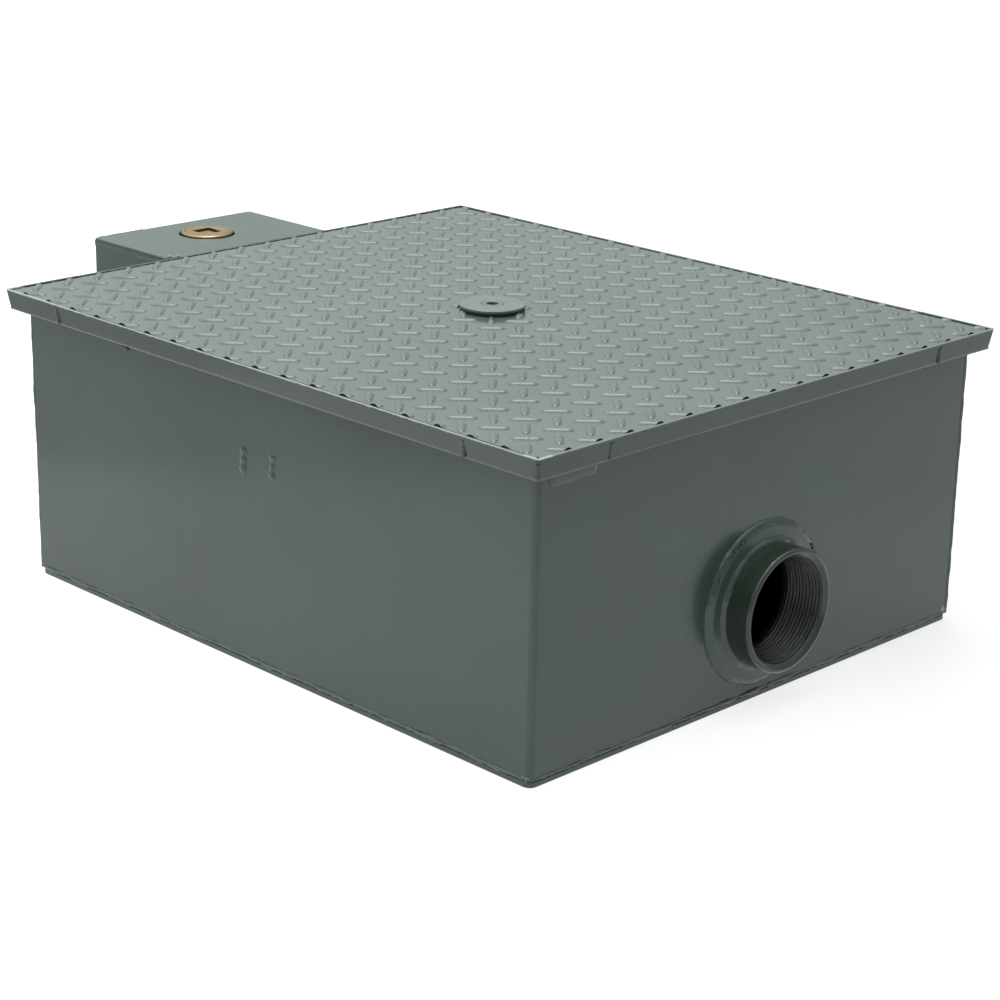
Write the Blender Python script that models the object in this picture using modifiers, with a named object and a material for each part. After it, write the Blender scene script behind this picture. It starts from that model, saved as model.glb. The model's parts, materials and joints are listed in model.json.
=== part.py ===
"""Welded steel grease trap: tank, angle rim, bolted tread-plate cover and outside trap box.

Metres, +Z up. The origin is the middle of the tank's underside. +X points out of the
inlet, -X towards the trap box and the outlet, and -Y is the near long side.
"""
import math

import bpy
import bmesh
from mathutils import Matrix, Vector

# Tank
TANK_LENGTH = 0.610
TANK_WIDTH = 0.511
RIM_TOP = 0.258
FLOOR_PLATE = 0.005
FLOOR_CORNER = 0.007
SHEET = 0.003
BEND_INSIDE = 0.0025
FIT = 0.0003

# Angle rim round the cover
RIM_HEIGHT = 0.0177
RIM_LEG = 0.019
RIM_STEEL = 0.003
RIM_OUTSET_TOP = 0.0152
RIM_OUTSET_BOTTOM = 0.0128
RIM_FOOT_RADIUS = 0.002
RIM_CORNER_LEG = 0.075

# Cover, its gasket and its tread
COVER_THICKNESS = 0.0048
COVER_RECESS = 0.0008
COVER_GAP = 0.0012
COVER_CORNER = 0.004
COVER_HOLE_GAP = 0.0025
GASKET_WIDTH = 0.012
GASKET_INSET = 0.002
LUG_LENGTH = 0.024
LUG_WIDTH = 0.0072
LUG_HEIGHT = 0.0022
LUG_RIDGE = 0.009
LUG_PITCH_LONG = 0.0335
LUG_PITCH_CROSS = 0.0319
LUG_ORIGIN_X = 0.0106
LUG_ORIGIN_Y = 0.0199
LUG_ROW_SKEW = math.radians(-1.0)
LUG_ROOT = 0.001

# Centre bolt, its disc and seal, and the bar that it screws into
DISC_RADIUS = 0.0282
DISC_THICKNESS = 0.0025
DISC_EDGE = 0.0005
SEAL_RADIUS = 0.0274
SEAL_THICKNESS = 0.0028
BOLT_HEAD_RADIUS = 0.009525
BOLT_HEAD_HEIGHT = 0.0127
BOLT_SHANK_RADIUS = 0.0061
BOLT_LENGTH = 0.1016
BOLT_POINT = 0.0015
BOLT_SOCKET_FLATS = 0.009525
BOLT_SOCKET_DEPTH = 0.0064
BOLT_RUNNING_GAP = 0.0009
BAR_DEPTH = 0.071
BAR_WIDTH = 0.038
BAR_HEIGHT = 0.025
BAR_STEEL = 0.0032
NUT_FLATS = 0.01905
NUT_HEIGHT = 0.0111
NUT_GAP = 0.0003

# Pipe couplings and their collars
INLET_HEIGHT = 0.081
OUTLET_HEIGHT = 0.081
COUPLING_RADIUS = 0.0506
COUPLING_WALL = 0.008
COUPLING_REACH_OUT = 0.029
COUPLING_REACH_IN = 0.012
COUPLING_EDGE = 0.0022
MOUTH_CHAMFER = 0.0035
COLLAR_WIDTH = 0.013
COLLAR_THICKNESS = 0.0045
COLLAR_TOE = 0.0045
COLLAR_THROAT = 0.003

# Baffles and the channels that they slide in
BAFFLE_THICKNESS = 0.003
BAFFLE_DEPTH = 0.043
BAFFLE_PLAY = 0.001
INLET_CHAMBER = 0.115
OUTLET_CHAMBER = 0.115
GUIDE_STEEL = 0.002
GUIDE_DEPTH = 0.014
GUIDE_DROP = 0.015
SLOT_COUNT = 4
SLOT_WIDTH = 0.022
SLOT_PITCH = 0.095
SLOT_SILL = 0.045
SLOT_BRIDGE = 0.022
HAND_SLOT_LENGTH = 0.095
HAND_SLOT_HEIGHT = 0.026
HAND_SLOT_DROP = 0.025
BAFFLE_LEG = 0.0592
UNDERFLOW_HEIGHT = 0.055

# Way from the tank into the trap box
PORT_WIDTH = 0.120
PORT_HEIGHT = 0.045
PORT_SILL = 0.007
RELIEF_RADIUS = 0.01067
RELIEF_BORE_RADIUS = 0.0079
RELIEF_LENGTH = 0.050
RELIEF_DEPTH = 0.043
RELIEF_Y = 0.055

# Trap box, its weir and its cleanout
BOX_WIDTH = 0.187
BOX_REACH = 0.132
BOX_TOP_DROP = 0.0008
BOX_TOP_PLATE = 0.004
BOX_BEND_INSIDE = 0.0006
WEIR_SET_OUT = 0.062
WEIR_DEPTH = 0.108
PLUG_SET_IN = 0.0515
PLUG_RADIUS = 0.0245
PLUG_TAPER = 0.0006
PLUG_LENGTH = 0.022
PLUG_PROUD = 0.002
PLUG_EDGE = 0.0012
PLUG_SOCKET = 0.0205
PLUG_SOCKET_DEPTH = 0.010
PLUG_CLEARANCE = 0.0003
CLEANOUT_HOLE_GAP = 0.0015
FERRULE_WALL = 0.0046
FERRULE_LENGTH = 0.025

# Facets round each kind of circle
PIPE_SEGMENTS = 40
SMALL_SEGMENTS = 24
BEND_STEPS = 4
CUT_PAST = 0.01
MERGE = 0.00001
SHARP_ANGLE = math.radians(35)

# Heights and half sizes that follow from the values above
HALF_LENGTH = TANK_LENGTH / 2
HALF_WIDTH = TANK_WIDTH / 2
RIM_BOTTOM = RIM_TOP - RIM_HEIGHT
WALL_BOTTOM = FLOOR_PLATE + FIT
WALL_TOP = RIM_BOTTOM - FIT
BEND_RADIUS = SHEET + BEND_INSIDE
LEDGE_TOP = RIM_BOTTOM + RIM_STEEL
COVER_TOP = RIM_TOP - COVER_RECESS
COVER_BOTTOM = COVER_TOP - COVER_THICKNESS
COVER_HALF_LENGTH = HALF_LENGTH + RIM_OUTSET_TOP - RIM_STEEL - COVER_GAP
COVER_HALF_WIDTH = HALF_WIDTH + RIM_OUTSET_TOP - RIM_STEEL - COVER_GAP
DISC_BOTTOM = COVER_TOP + SEAL_THICKNESS
DISC_TOP = DISC_BOTTOM + DISC_THICKNESS
COVER_HOLE_RADIUS = BOLT_HEAD_RADIUS + COVER_HOLE_GAP
BAR_TOP = RIM_TOP - BAR_DEPTH
NUT_BORE_RADIUS = BOLT_SHANK_RADIUS + NUT_GAP
COUPLING_BORE_RADIUS = COUPLING_RADIUS - COUPLING_WALL
COLLAR_RADIUS = COUPLING_RADIUS + FIT + COLLAR_WIDTH
INLET_BAFFLE_X = HALF_LENGTH - INLET_CHAMBER
OUTLET_BAFFLE_X = -HALF_LENGTH + OUTLET_CHAMBER
BAFFLE_TOP = RIM_TOP - BAFFLE_DEPTH
GUIDE_TOP = BAFFLE_TOP - GUIDE_DROP
HAND_SLOT_Z = BAFFLE_TOP - HAND_SLOT_DROP
SLOT_TOP = HAND_SLOT_Z - HAND_SLOT_HEIGHT / 2 - SLOT_BRIDGE
PORT_BOTTOM = FLOOR_PLATE + PORT_SILL
RELIEF_HEIGHT = RIM_TOP - RELIEF_DEPTH
BOX_FAR_X = -HALF_LENGTH - BOX_REACH
BOX_TOP_NEAR_X = -HALF_LENGTH - RIM_OUTSET_TOP - FIT
BOX_TOP = RIM_TOP - BOX_TOP_DROP
BOX_SHELL_TOP = BOX_TOP - BOX_TOP_PLATE - FIT
BOX_BEND_RADIUS = SHEET + BOX_BEND_INSIDE
WEIR_X = -HALF_LENGTH - WEIR_SET_OUT
WEIR_TOP = RIM_TOP - WEIR_DEPTH
PLUG_X = BOX_FAR_X + PLUG_SET_IN
CLEANOUT_HOLE_RADIUS = PLUG_RADIUS + CLEANOUT_HOLE_GAP


def clear_scene():
    for item in list(bpy.data.objects):
        bpy.data.objects.remove(item, do_unlink=True)


def new_collection(name):
    group = bpy.data.collections.new(name)
    bpy.context.scene.collection.children.link(group)
    return group


def new_material(name, colour, roughness, metallic):
    item = bpy.data.materials.new(name)
    item.use_nodes = True
    shader = item.node_tree.nodes["Principled BSDF"]
    shader.inputs["Base Color"].default_value = (*colour, 1.0)
    shader.inputs["Roughness"].default_value = roughness
    shader.inputs["Metallic"].default_value = metallic
    item.diffuse_color = (*colour, 1.0)
    return item


def new_object(name, mesh, material, group):
    item = bpy.data.objects.new(name, mesh)
    if material is not None:
        mesh.materials.clear()
        mesh.materials.append(material)
    group.objects.link(item)
    return item


def mesh_from(name, bm):
    mesh = bpy.data.meshes.new(name)
    bm.to_mesh(mesh)
    bm.free()
    return mesh


def evaluated_mesh(item):
    bpy.context.view_layer.update()
    return bpy.data.meshes.new_from_object(item.evaluated_get(bpy.context.evaluated_depsgraph_get()))


def outline_solid(name, loops, thickness, material, group):
    """Flat outline in the XY plane, with any inner loops as holes, given its thickness about z = 0."""
    curve = bpy.data.curves.new(name + "_outline", "CURVE")
    curve.dimensions = "2D"
    curve.fill_mode = "BOTH"
    curve.extrude = thickness / 2
    for loop in loops:
        spline = curve.splines.new("POLY")
        spline.points.add(len(loop) - 1)
        for point, (x, y) in zip(spline.points, loop):
            point.co = (x, y, 0, 1)
        spline.use_cyclic_u = True
    drawn = bpy.data.objects.new(name + "_outline", curve)
    group.objects.link(drawn)
    mesh = evaluated_mesh(drawn)
    bm = bmesh.new()
    bm.from_mesh(mesh)
    bmesh.ops.remove_doubles(bm, verts=bm.verts, dist=MERGE)
    bmesh.ops.recalc_face_normals(bm, faces=bm.faces)
    bm.to_mesh(mesh)
    bm.free()
    mesh.name = name
    item = new_object(name, mesh, material, group)
    item.matrix_world = drawn.matrix_world
    bpy.data.objects.remove(drawn, do_unlink=True)
    return item


def turned(name, profile, segments, material, group, closed=False):
    """Profile of (radius, height) points, running down its outer side, turned about local Z."""
    bm = bmesh.new()
    points = [bm.verts.new((radius, 0, height)) for radius, height in profile]
    pairs = list(zip(points, points[1:]))
    if closed:
        pairs.append((points[-1], points[0]))
    for pair in pairs:
        bm.edges.new(pair)
    item = new_object(name, mesh_from(name, bm), material, group)
    screw = item.modifiers.new("Turn", "SCREW")
    screw.axis = "Z"
    screw.steps = segments
    screw.render_steps = segments
    screw.use_merge_vertices = True
    screw.merge_threshold = MERGE
    item.data = evaluated_mesh(item)
    item.modifiers.remove(screw)
    item.data.shade_smooth()
    item.data.set_sharp_from_angle(angle=SHARP_ANGLE)
    return item


def box_cutter(name, low, high, group):
    bm = bmesh.new()
    bmesh.ops.create_cube(bm, size=1.0)
    low = Vector(low)
    high = Vector(high)
    size = Matrix.Diagonal((*(high - low), 1.0))
    bmesh.ops.transform(bm, matrix=Matrix.Translation((low + high) / 2) @ size, verts=bm.verts)
    return as_cutter(new_object(name, mesh_from(name, bm), None, group))


def round_cutter(name, centre, axis, radius, length, segments, group):
    """Cylinder along a world axis, centred on a point, for a hole."""
    bm = bmesh.new()
    bmesh.ops.create_cone(
        bm, cap_ends=True, segments=segments, radius1=radius, radius2=radius, depth=length
    )
    turn = {"X": Matrix.Rotation(math.pi / 2, 4, "Y"), "Z": Matrix.Identity(4)}[axis]
    bmesh.ops.transform(bm, matrix=Matrix.Translation(centre) @ turn, verts=bm.verts)
    return as_cutter(new_object(name, mesh_from(name, bm), None, group))


def as_cutter(item):
    item.hide_render = True
    item.display_type = "WIRE"
    return item


def boolean(item, other, operation):
    step = item.modifiers.new(other.name, "BOOLEAN")
    step.operation = operation
    step.solver = "EXACT"
    step.object = other


def arc(centre, radius, start, end, steps):
    points = []
    for step in range(steps + 1):
        angle = start + (end - start) * step / steps
        points.append((centre[0] + radius * math.cos(angle), centre[1] + radius * math.sin(angle)))
    return points


def rounded_rectangle(low, high, radius):
    """Anticlockwise outline between two corners, with round corners."""
    quarter = math.pi / 2
    centres = [
        (high[0] - radius, high[1] - radius),
        (low[0] + radius, high[1] - radius),
        (low[0] + radius, low[1] + radius),
        (high[0] - radius, low[1] + radius),
    ]
    points = []
    for index, centre in enumerate(centres):
        points += arc(centre, radius, index * quarter, (index + 1) * quarter, BEND_STEPS)
    return points


def slot(middle, length, width, upright):
    """Outline of a slot with half-round ends."""
    quarter = math.pi / 2
    along = Vector((0, 1)) if upright else Vector((1, 0))
    start = quarter * (0 if upright else -1)
    reach = along * (length - width) / 2
    first = Vector(middle) + reach
    last = Vector(middle) - reach
    points = arc(first, width / 2, start, start + math.pi, 2 * BEND_STEPS)
    points += arc(last, width / 2, start + math.pi, start + 2 * math.pi, 2 * BEND_STEPS)
    return points


def rectangle(low, high):
    return [(low[0], low[1]), (high[0], low[1]), (high[0], high[1]), (low[0], high[1])]


def folded_outline(path, sheet, radius):
    """Plan of a sheet folded by right angles to the left, its outer face on the path."""
    path = [Vector(point) for point in path]
    outer = []
    inner = []
    for index, point in enumerate(path):
        before = (point - path[index - 1]).normalized() if index else None
        after = (path[index + 1] - point).normalized() if index + 1 < len(path) else None
        if before is None or after is None:
            along = after or before
            outer.append(point)
            inner.append(point + Vector((-along.y, along.x)) * sheet)
            continue
        first = Vector((-before.y, before.x))
        second = Vector((-after.y, after.x))
        centre = point + (first + second) * radius
        for step in range(BEND_STEPS + 1):
            angle = math.pi / 2 * step / BEND_STEPS
            radial = -(first * math.cos(angle) + second * math.sin(angle))
            outer.append(centre + radial * radius)
            inner.append(centre + radial * (radius - sheet))
    return [tuple(point) for point in outer + inner[::-1]]


def loft(name, stations, material, group):
    """Solid through sections that have the same number of points, capped at both ends."""
    bm = bmesh.new()
    rings = [[bm.verts.new(point) for point in station] for station in stations]
    count = len(rings[0])
    for first, second in zip(rings, rings[1:]):
        for index in range(count):
            following = (index + 1) % count
            bm.faces.new((first[index], first[following], second[following], second[index]))
    bm.faces.new(rings[0])
    bm.faces.new(rings[-1])
    bmesh.ops.recalc_face_normals(bm, faces=bm.faces)
    return new_object(name, mesh_from(name, bm), material, group)


def plate_across(name, loops, thickness, x, material, group):
    """Flat plate across the tank: its outline is given in (y, z), its middle stands at x."""
    item = outline_solid(name, loops, thickness, material, group)
    item.matrix_world = Matrix.Translation((x, 0, 0)) @ Matrix(
        ((0, 0, 1, 0), (1, 0, 0, 0), (0, 1, 0, 0), (0, 0, 0, 1))
    )
    return item


def tank_floor(material, parts):
    outline = rounded_rectangle((-HALF_LENGTH, -HALF_WIDTH), (HALF_LENGTH, HALF_WIDTH), FLOOR_CORNER)
    item = outline_solid("tank_floor", [outline], FLOOR_PLATE, material, parts)
    item.location.z = FLOOR_PLATE / 2


def upright_sheet(name, path, radius, bottom, top, material, parts):
    item = outline_solid(
        name, [folded_outline(path, SHEET, radius)], top - bottom, material, parts
    )
    item.location.z = (bottom + top) / 2
    return item


def inlet_wall_sheet(material, parts, cutters):
    """One folded sheet: the near long side and the inlet end."""
    path = [
        (-HALF_LENGTH, -HALF_WIDTH),
        (HALF_LENGTH, -HALF_WIDTH),
        (HALF_LENGTH, HALF_WIDTH - SHEET - FIT),
    ]
    item = upright_sheet(
        "wall_near_and_inlet", path, BEND_RADIUS, WALL_BOTTOM, WALL_TOP, material, parts
    )
    boolean(item, coupling_hole("inlet_hole", HALF_LENGTH, INLET_HEIGHT, cutters), "DIFFERENCE")


def outlet_wall_sheet(material, parts, cutters):
    """One folded sheet: the far long side and the outlet end, open low down into the trap box."""
    path = [
        (HALF_LENGTH, HALF_WIDTH),
        (-HALF_LENGTH, HALF_WIDTH),
        (-HALF_LENGTH, -HALF_WIDTH + SHEET + FIT),
    ]
    item = upright_sheet(
        "wall_far_and_outlet", path, BEND_RADIUS, WALL_BOTTOM, WALL_TOP, material, parts
    )
    port = box_cutter(
        "port_cut",
        (-HALF_LENGTH - CUT_PAST, -PORT_WIDTH / 2, PORT_BOTTOM),
        (-HALF_LENGTH + CUT_PAST, PORT_WIDTH / 2, PORT_BOTTOM + PORT_HEIGHT),
        cutters,
    )
    relief = round_cutter(
        "relief_hole",
        (-HALF_LENGTH, RELIEF_Y, RELIEF_HEIGHT),
        "X",
        RELIEF_RADIUS + FIT,
        2 * CUT_PAST,
        SMALL_SEGMENTS,
        cutters,
    )
    boolean(item, port, "DIFFERENCE")
    boolean(item, relief, "DIFFERENCE")


def coupling_hole(name, x, z, cutters):
    return round_cutter(
        name, (x, 0, z), "X", COUPLING_RADIUS + FIT, 2 * CUT_PAST, PIPE_SEGMENTS, cutters
    )


def rim_section():
    """Section of the opened-out angle as (outset from the tank wall, height)."""
    foot = (RIM_OUTSET_BOTTOM - RIM_FOOT_RADIUS, RIM_BOTTOM + RIM_FOOT_RADIUS)
    lean = (RIM_OUTSET_TOP - RIM_OUTSET_BOTTOM) / RIM_HEIGHT
    inner_foot = RIM_OUTSET_BOTTOM + lean * RIM_STEEL - RIM_STEEL
    section = arc(foot, RIM_FOOT_RADIUS, -math.pi / 2, 0, 2)
    section += [
        (RIM_OUTSET_TOP, RIM_TOP),
        (RIM_OUTSET_TOP - RIM_STEEL, RIM_TOP),
        (inner_foot, LEDGE_TOP),
        (RIM_OUTSET_BOTTOM - RIM_LEG, LEDGE_TOP),
        (RIM_OUTSET_BOTTOM - RIM_LEG, RIM_BOTTOM),
    ]
    return section


def rim_corner(name, side_x, side_y, material, parts):
    """Mitred corner of the rim: the section runs along one side, turns and runs along the other."""
    section = rim_section()
    corner = Vector((side_x * HALF_LENGTH, side_y * HALF_WIDTH, 0))
    out_x = Vector((side_x, 0, 0))
    out_y = Vector((0, side_y, 0))
    up = Vector((0, 0, 1))
    leg = RIM_CORNER_LEG - RIM_OUTSET_TOP
    on_x_side = [corner - out_y * leg + out_x * out + up * z for out, z in section]
    on_mitre = [corner + (out_x + out_y) * out + up * z for out, z in section]
    on_y_side = [corner - out_x * leg + out_y * out + up * z for out, z in section]
    loft(name, [on_x_side, on_mitre, on_y_side], material, parts)


def rim_bar(name, out, material, parts):
    """Straight length of the rim between two corner pieces."""
    out = Vector((*out, 0))
    up = Vector((0, 0, 1))
    along = out.cross(up)
    across = abs(out.x) * HALF_LENGTH + abs(out.y) * HALF_WIDTH
    side = abs(out.x) * HALF_WIDTH + abs(out.y) * HALF_LENGTH
    length = 2 * (side + RIM_OUTSET_TOP - RIM_CORNER_LEG - FIT)
    item = outline_solid(name, [rim_section()], length, material, parts)
    turn = Matrix((out, up, along)).transposed().to_4x4()
    item.matrix_world = Matrix.Translation(out * across) @ turn


def rim(material, parts):
    rim_corner("rim_corner_near_inlet", 1, -1, material, parts)
    rim_corner("rim_corner_far_inlet", 1, 1, material, parts)
    rim_corner("rim_corner_far_outlet", -1, 1, material, parts)
    rim_corner("rim_corner_near_outlet", -1, -1, material, parts)
    rim_bar("rim_bar_inlet", (1, 0), material, parts)
    rim_bar("rim_bar_outlet", (-1, 0), material, parts)
    rim_bar("rim_bar_near", (0, -1), material, parts)
    rim_bar("rim_bar_far", (0, 1), material, parts)


def cover_gasket(material, parts):
    bottom = LEDGE_TOP + FIT
    top = COVER_BOTTOM - FIT
    outset = RIM_OUTSET_BOTTOM - RIM_STEEL - GASKET_INSET
    corner = (HALF_LENGTH + outset, HALF_WIDTH + outset)
    outer = rounded_rectangle((-corner[0], -corner[1]), corner, COVER_CORNER + GASKET_WIDTH)
    inside = (corner[0] - GASKET_WIDTH, corner[1] - GASKET_WIDTH)
    inner = rounded_rectangle((-inside[0], -inside[1]), inside, COVER_CORNER)
    item = outline_solid("cover_gasket", [outer, inner], top - bottom, material, parts)
    item.location.z = (bottom + top) / 2


def lug(bm, place):
    """One diamond of the tread: four slopes rise from a rhombus to a ridge; a root goes down."""
    half_length = LUG_LENGTH / 2
    half_width = LUG_WIDTH / 2
    foot = [(-half_length, 0), (0, -half_width), (half_length, 0), (0, half_width)]
    root = [bm.verts.new(place @ Vector((x, y, -LUG_ROOT))) for x, y in foot]
    base = [bm.verts.new(place @ Vector((x, y, 0))) for x, y in foot]
    ridge = [
        bm.verts.new(place @ Vector((end * LUG_RIDGE / 2, 0, LUG_HEIGHT))) for end in (-1, 1)
    ]
    bm.faces.new(root[::-1])
    for index in range(len(foot)):
        following = (index + 1) % len(foot)
        nearest = ridge[0] if index in (0, 3) else ridge[1]
        bm.faces.new((root[index], root[following], base[following], base[index]))
        bm.faces.new((base[index], base[following], nearest))
    bm.faces.new((base[1], ridge[1], ridge[0]))
    bm.faces.new((base[3], ridge[0], ridge[1]))


def tread_field(cutters):
    """All the lugs: two lattices, each in the gaps of the other, with crossed lugs."""
    row = Vector((math.cos(LUG_ROW_SKEW), math.sin(LUG_ROW_SKEW), 0)) * LUG_PITCH_LONG
    column = Vector((0, LUG_PITCH_CROSS, 0))
    origin = Vector((LUG_ORIGIN_X, LUG_ORIGIN_Y, 0))
    reach_long = math.ceil(COVER_HALF_LENGTH / LUG_PITCH_LONG) + 1
    reach_cross = math.ceil(COVER_HALF_WIDTH / LUG_PITCH_CROSS) + 1
    limit_x = COVER_HALF_LENGTH + LUG_LENGTH / 2
    limit_y = COVER_HALF_WIDTH + LUG_LENGTH / 2
    bm = bmesh.new()
    for i in range(-reach_long, reach_long + 1):
        for j in range(-reach_cross, reach_cross + 1):
            crossing = origin + row * i + column * j
            between = crossing - (row + column) / 2
            for centre, angle in ((crossing, math.pi / 4), (between, -math.pi / 4)):
                if abs(centre.x) < limit_x and abs(centre.y) < limit_y:
                    lug(bm, Matrix.Translation(centre) @ Matrix.Rotation(angle, 4, "Z"))
    field = as_cutter(new_object("tread_field", mesh_from("tread_field", bm), None, cutters))
    field.location.z = COVER_TOP
    spot_face = round_cutter(
        "spot_face", (0, 0, COVER_TOP), "Z", SEAL_RADIUS + FIT, 2 * CUT_PAST, PIPE_SEGMENTS, cutters
    )
    boolean(field, spot_face, "DIFFERENCE")
    return field


def cover_plate(material, parts, cutters):
    """Tread plate: a blank with its lugs, then sheared to size through the lugs, and drilled."""
    over = LUG_LENGTH + CUT_PAST
    spread = Matrix.Diagonal((COVER_HALF_LENGTH + over, COVER_HALF_WIDTH + over, 1, 1))
    bm = bmesh.new()
    bmesh.ops.create_grid(bm, x_segments=1, y_segments=1, size=1, matrix=spread)
    item = new_object("cover_plate", mesh_from("cover_plate", bm), material, parts)
    item.location.z = COVER_TOP
    solidify = item.modifiers.new("Thickness", "SOLIDIFY")
    solidify.thickness = COVER_THICKNESS
    solidify.offset = -1
    outline = rounded_rectangle(
        (-COVER_HALF_LENGTH, -COVER_HALF_WIDTH), (COVER_HALF_LENGTH, COVER_HALF_WIDTH), COVER_CORNER
    )
    shear = as_cutter(outline_solid("cover_shear", [outline], 2 * CUT_PAST, None, cutters))
    shear.location.z = COVER_TOP
    hole = round_cutter(
        "cover_hole",
        (0, 0, COVER_TOP),
        "Z",
        COVER_HOLE_RADIUS,
        2 * CUT_PAST,
        SMALL_SEGMENTS,
        cutters,
    )
    boolean(item, tread_field(cutters), "UNION")
    boolean(item, shear, "INTERSECT")
    boolean(item, hole, "DIFFERENCE")


def ring_profile(inner, outer, bottom, top):
    return [(outer, top), (outer, bottom), (inner, bottom), (inner, top)]


def cover_disc(material, parts):
    """Steel disc welded round the bolt's head."""
    inner = BOLT_HEAD_RADIUS + FIT
    profile = [
        (DISC_RADIUS - DISC_EDGE, DISC_THICKNESS),
        (DISC_RADIUS, DISC_THICKNESS - DISC_EDGE),
        (DISC_RADIUS, 0),
        (inner, 0),
        (inner, DISC_THICKNESS),
    ]
    item = turned("cover_disc", profile, PIPE_SEGMENTS, material, parts, closed=True)
    item.location.z = DISC_BOTTOM


def disc_seal(material, parts):
    inner = BOLT_HEAD_RADIUS + BOLT_RUNNING_GAP
    profile = ring_profile(inner, SEAL_RADIUS, FIT, SEAL_THICKNESS - FIT)
    item = turned("disc_seal", profile, PIPE_SEGMENTS, material, parts, closed=True)
    item.location.z = COVER_TOP


def cover_bolt(material, parts, cutters):
    """Socket-head screw, its head flush with the disc; its thread is plain here."""
    shank_end = -BOLT_HEAD_HEIGHT - BOLT_LENGTH
    profile = [
        (0, 0),
        (BOLT_HEAD_RADIUS, 0),
        (BOLT_HEAD_RADIUS, -BOLT_HEAD_HEIGHT),
        (BOLT_SHANK_RADIUS, -BOLT_HEAD_HEIGHT),
        (BOLT_SHANK_RADIUS, shank_end + BOLT_POINT),
        (BOLT_SHANK_RADIUS - BOLT_POINT, shank_end),
        (0, shank_end),
    ]
    item = turned("cover_bolt", profile, SMALL_SEGMENTS, material, parts)
    item.location.z = DISC_TOP
    socket_radius = BOLT_SOCKET_FLATS / 2 / math.cos(math.pi / 6)
    socket = round_cutter(
        "bolt_socket", (0, 0, DISC_TOP), "Z", socket_radius, 2 * BOLT_SOCKET_DEPTH, 6, cutters
    )
    boolean(item, socket, "DIFFERENCE")


def hold_down_bar(material, parts, cutters):
    """Channel across the middle of the tank, legs down, welded to both long walls."""
    half = BAR_WIDTH / 2
    section = [
        (-half, -BAR_HEIGHT),
        (-half + BAR_STEEL, -BAR_HEIGHT),
        (-half + BAR_STEEL, -BAR_STEEL),
        (half - BAR_STEEL, -BAR_STEEL),
        (half - BAR_STEEL, -BAR_HEIGHT),
        (half, -BAR_HEIGHT),
        (half, 0),
        (-half, 0),
    ]
    length = 2 * (HALF_WIDTH - SHEET - FIT)
    item = outline_solid("hold_down_bar", [section], length, material, parts)
    item.matrix_world = Matrix.Translation((0, 0, BAR_TOP)) @ Matrix.Rotation(math.pi / 2, 4, "X")
    hole = round_cutter(
        "bar_hole",
        (0, 0, BAR_TOP - BAR_STEEL / 2),
        "Z",
        BOLT_SHANK_RADIUS + BOLT_RUNNING_GAP,
        2 * BAR_STEEL,
        SMALL_SEGMENTS,
        cutters,
    )
    boolean(item, hole, "DIFFERENCE")


def hold_down_nut(material, parts):
    """Hexagon nut welded under the channel's web."""
    corner = NUT_FLATS / 2 / math.cos(math.pi / 6)
    hexagon = arc((0, 0), corner, 0, 2 * math.pi, 6)[:-1]
    bore = arc((0, 0), NUT_BORE_RADIUS, 0, 2 * math.pi, SMALL_SEGMENTS)[:-1]
    item = outline_solid("hold_down_nut", [hexagon, bore], NUT_HEIGHT, material, parts)
    item.location.z = BAR_TOP - BAR_STEEL - FIT - NUT_HEIGHT / 2


def coupling(name, x, z, side, material, parts):
    """Threaded half coupling through a wall; side is +1 where it points to +X, -1 to -X."""
    profile = [
        (COUPLING_RADIUS - COUPLING_EDGE, COUPLING_REACH_OUT),
        (COUPLING_RADIUS, COUPLING_REACH_OUT - COUPLING_EDGE),
        (COUPLING_RADIUS, -SHEET - COUPLING_REACH_IN),
        (COUPLING_BORE_RADIUS, -SHEET - COUPLING_REACH_IN),
        (COUPLING_BORE_RADIUS, COUPLING_REACH_OUT - MOUTH_CHAMFER),
        (COUPLING_BORE_RADIUS + MOUTH_CHAMFER, COUPLING_REACH_OUT),
    ]
    item = turned(name, profile, PIPE_SEGMENTS, material, parts, closed=True)
    item.location = (x, 0, z)
    item.rotation_euler.y = side * math.pi / 2


def coupling_collar(name, x, z, side, material, parts):
    """Ring round a coupling with the rounded toe and throat of its fillets."""
    inner = COUPLING_RADIUS + FIT
    profile = [
        (inner, COLLAR_THICKNESS + COLLAR_THROAT),
        (inner + COLLAR_THROAT, COLLAR_THICKNESS),
        (COLLAR_RADIUS, COLLAR_THICKNESS),
        (COLLAR_RADIUS + COLLAR_TOE / 2, COLLAR_THICKNESS / 2),
        (COLLAR_RADIUS + COLLAR_TOE, FIT),
        (inner, FIT),
    ]
    item = turned(name, profile, PIPE_SEGMENTS, material, parts, closed=True)
    item.location = (x, 0, z)
    item.rotation_euler.y = side * math.pi / 2


def baffle_half_width():
    return HALF_WIDTH - SHEET - FIT - GUIDE_STEEL - BAFFLE_PLAY


def hand_slot():
    return slot((0, HAND_SLOT_Z), HAND_SLOT_LENGTH, HAND_SLOT_HEIGHT, upright=False)


def inlet_baffle(material, parts):
    """Lift-out plate that spreads the flow through upright slots."""
    half = baffle_half_width()
    bottom = WALL_BOTTOM
    loops = [rectangle((-half, bottom), (half, BAFFLE_TOP)), hand_slot()]
    for index in range(SLOT_COUNT):
        middle = ((index - (SLOT_COUNT - 1) / 2) * SLOT_PITCH, (SLOT_SILL + SLOT_TOP) / 2)
        loops.append(slot(middle, SLOT_TOP - SLOT_SILL, SLOT_WIDTH, upright=True))
    plate_across("inlet_baffle", loops, BAFFLE_THICKNESS, INLET_BAFFLE_X, material, parts)


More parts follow.
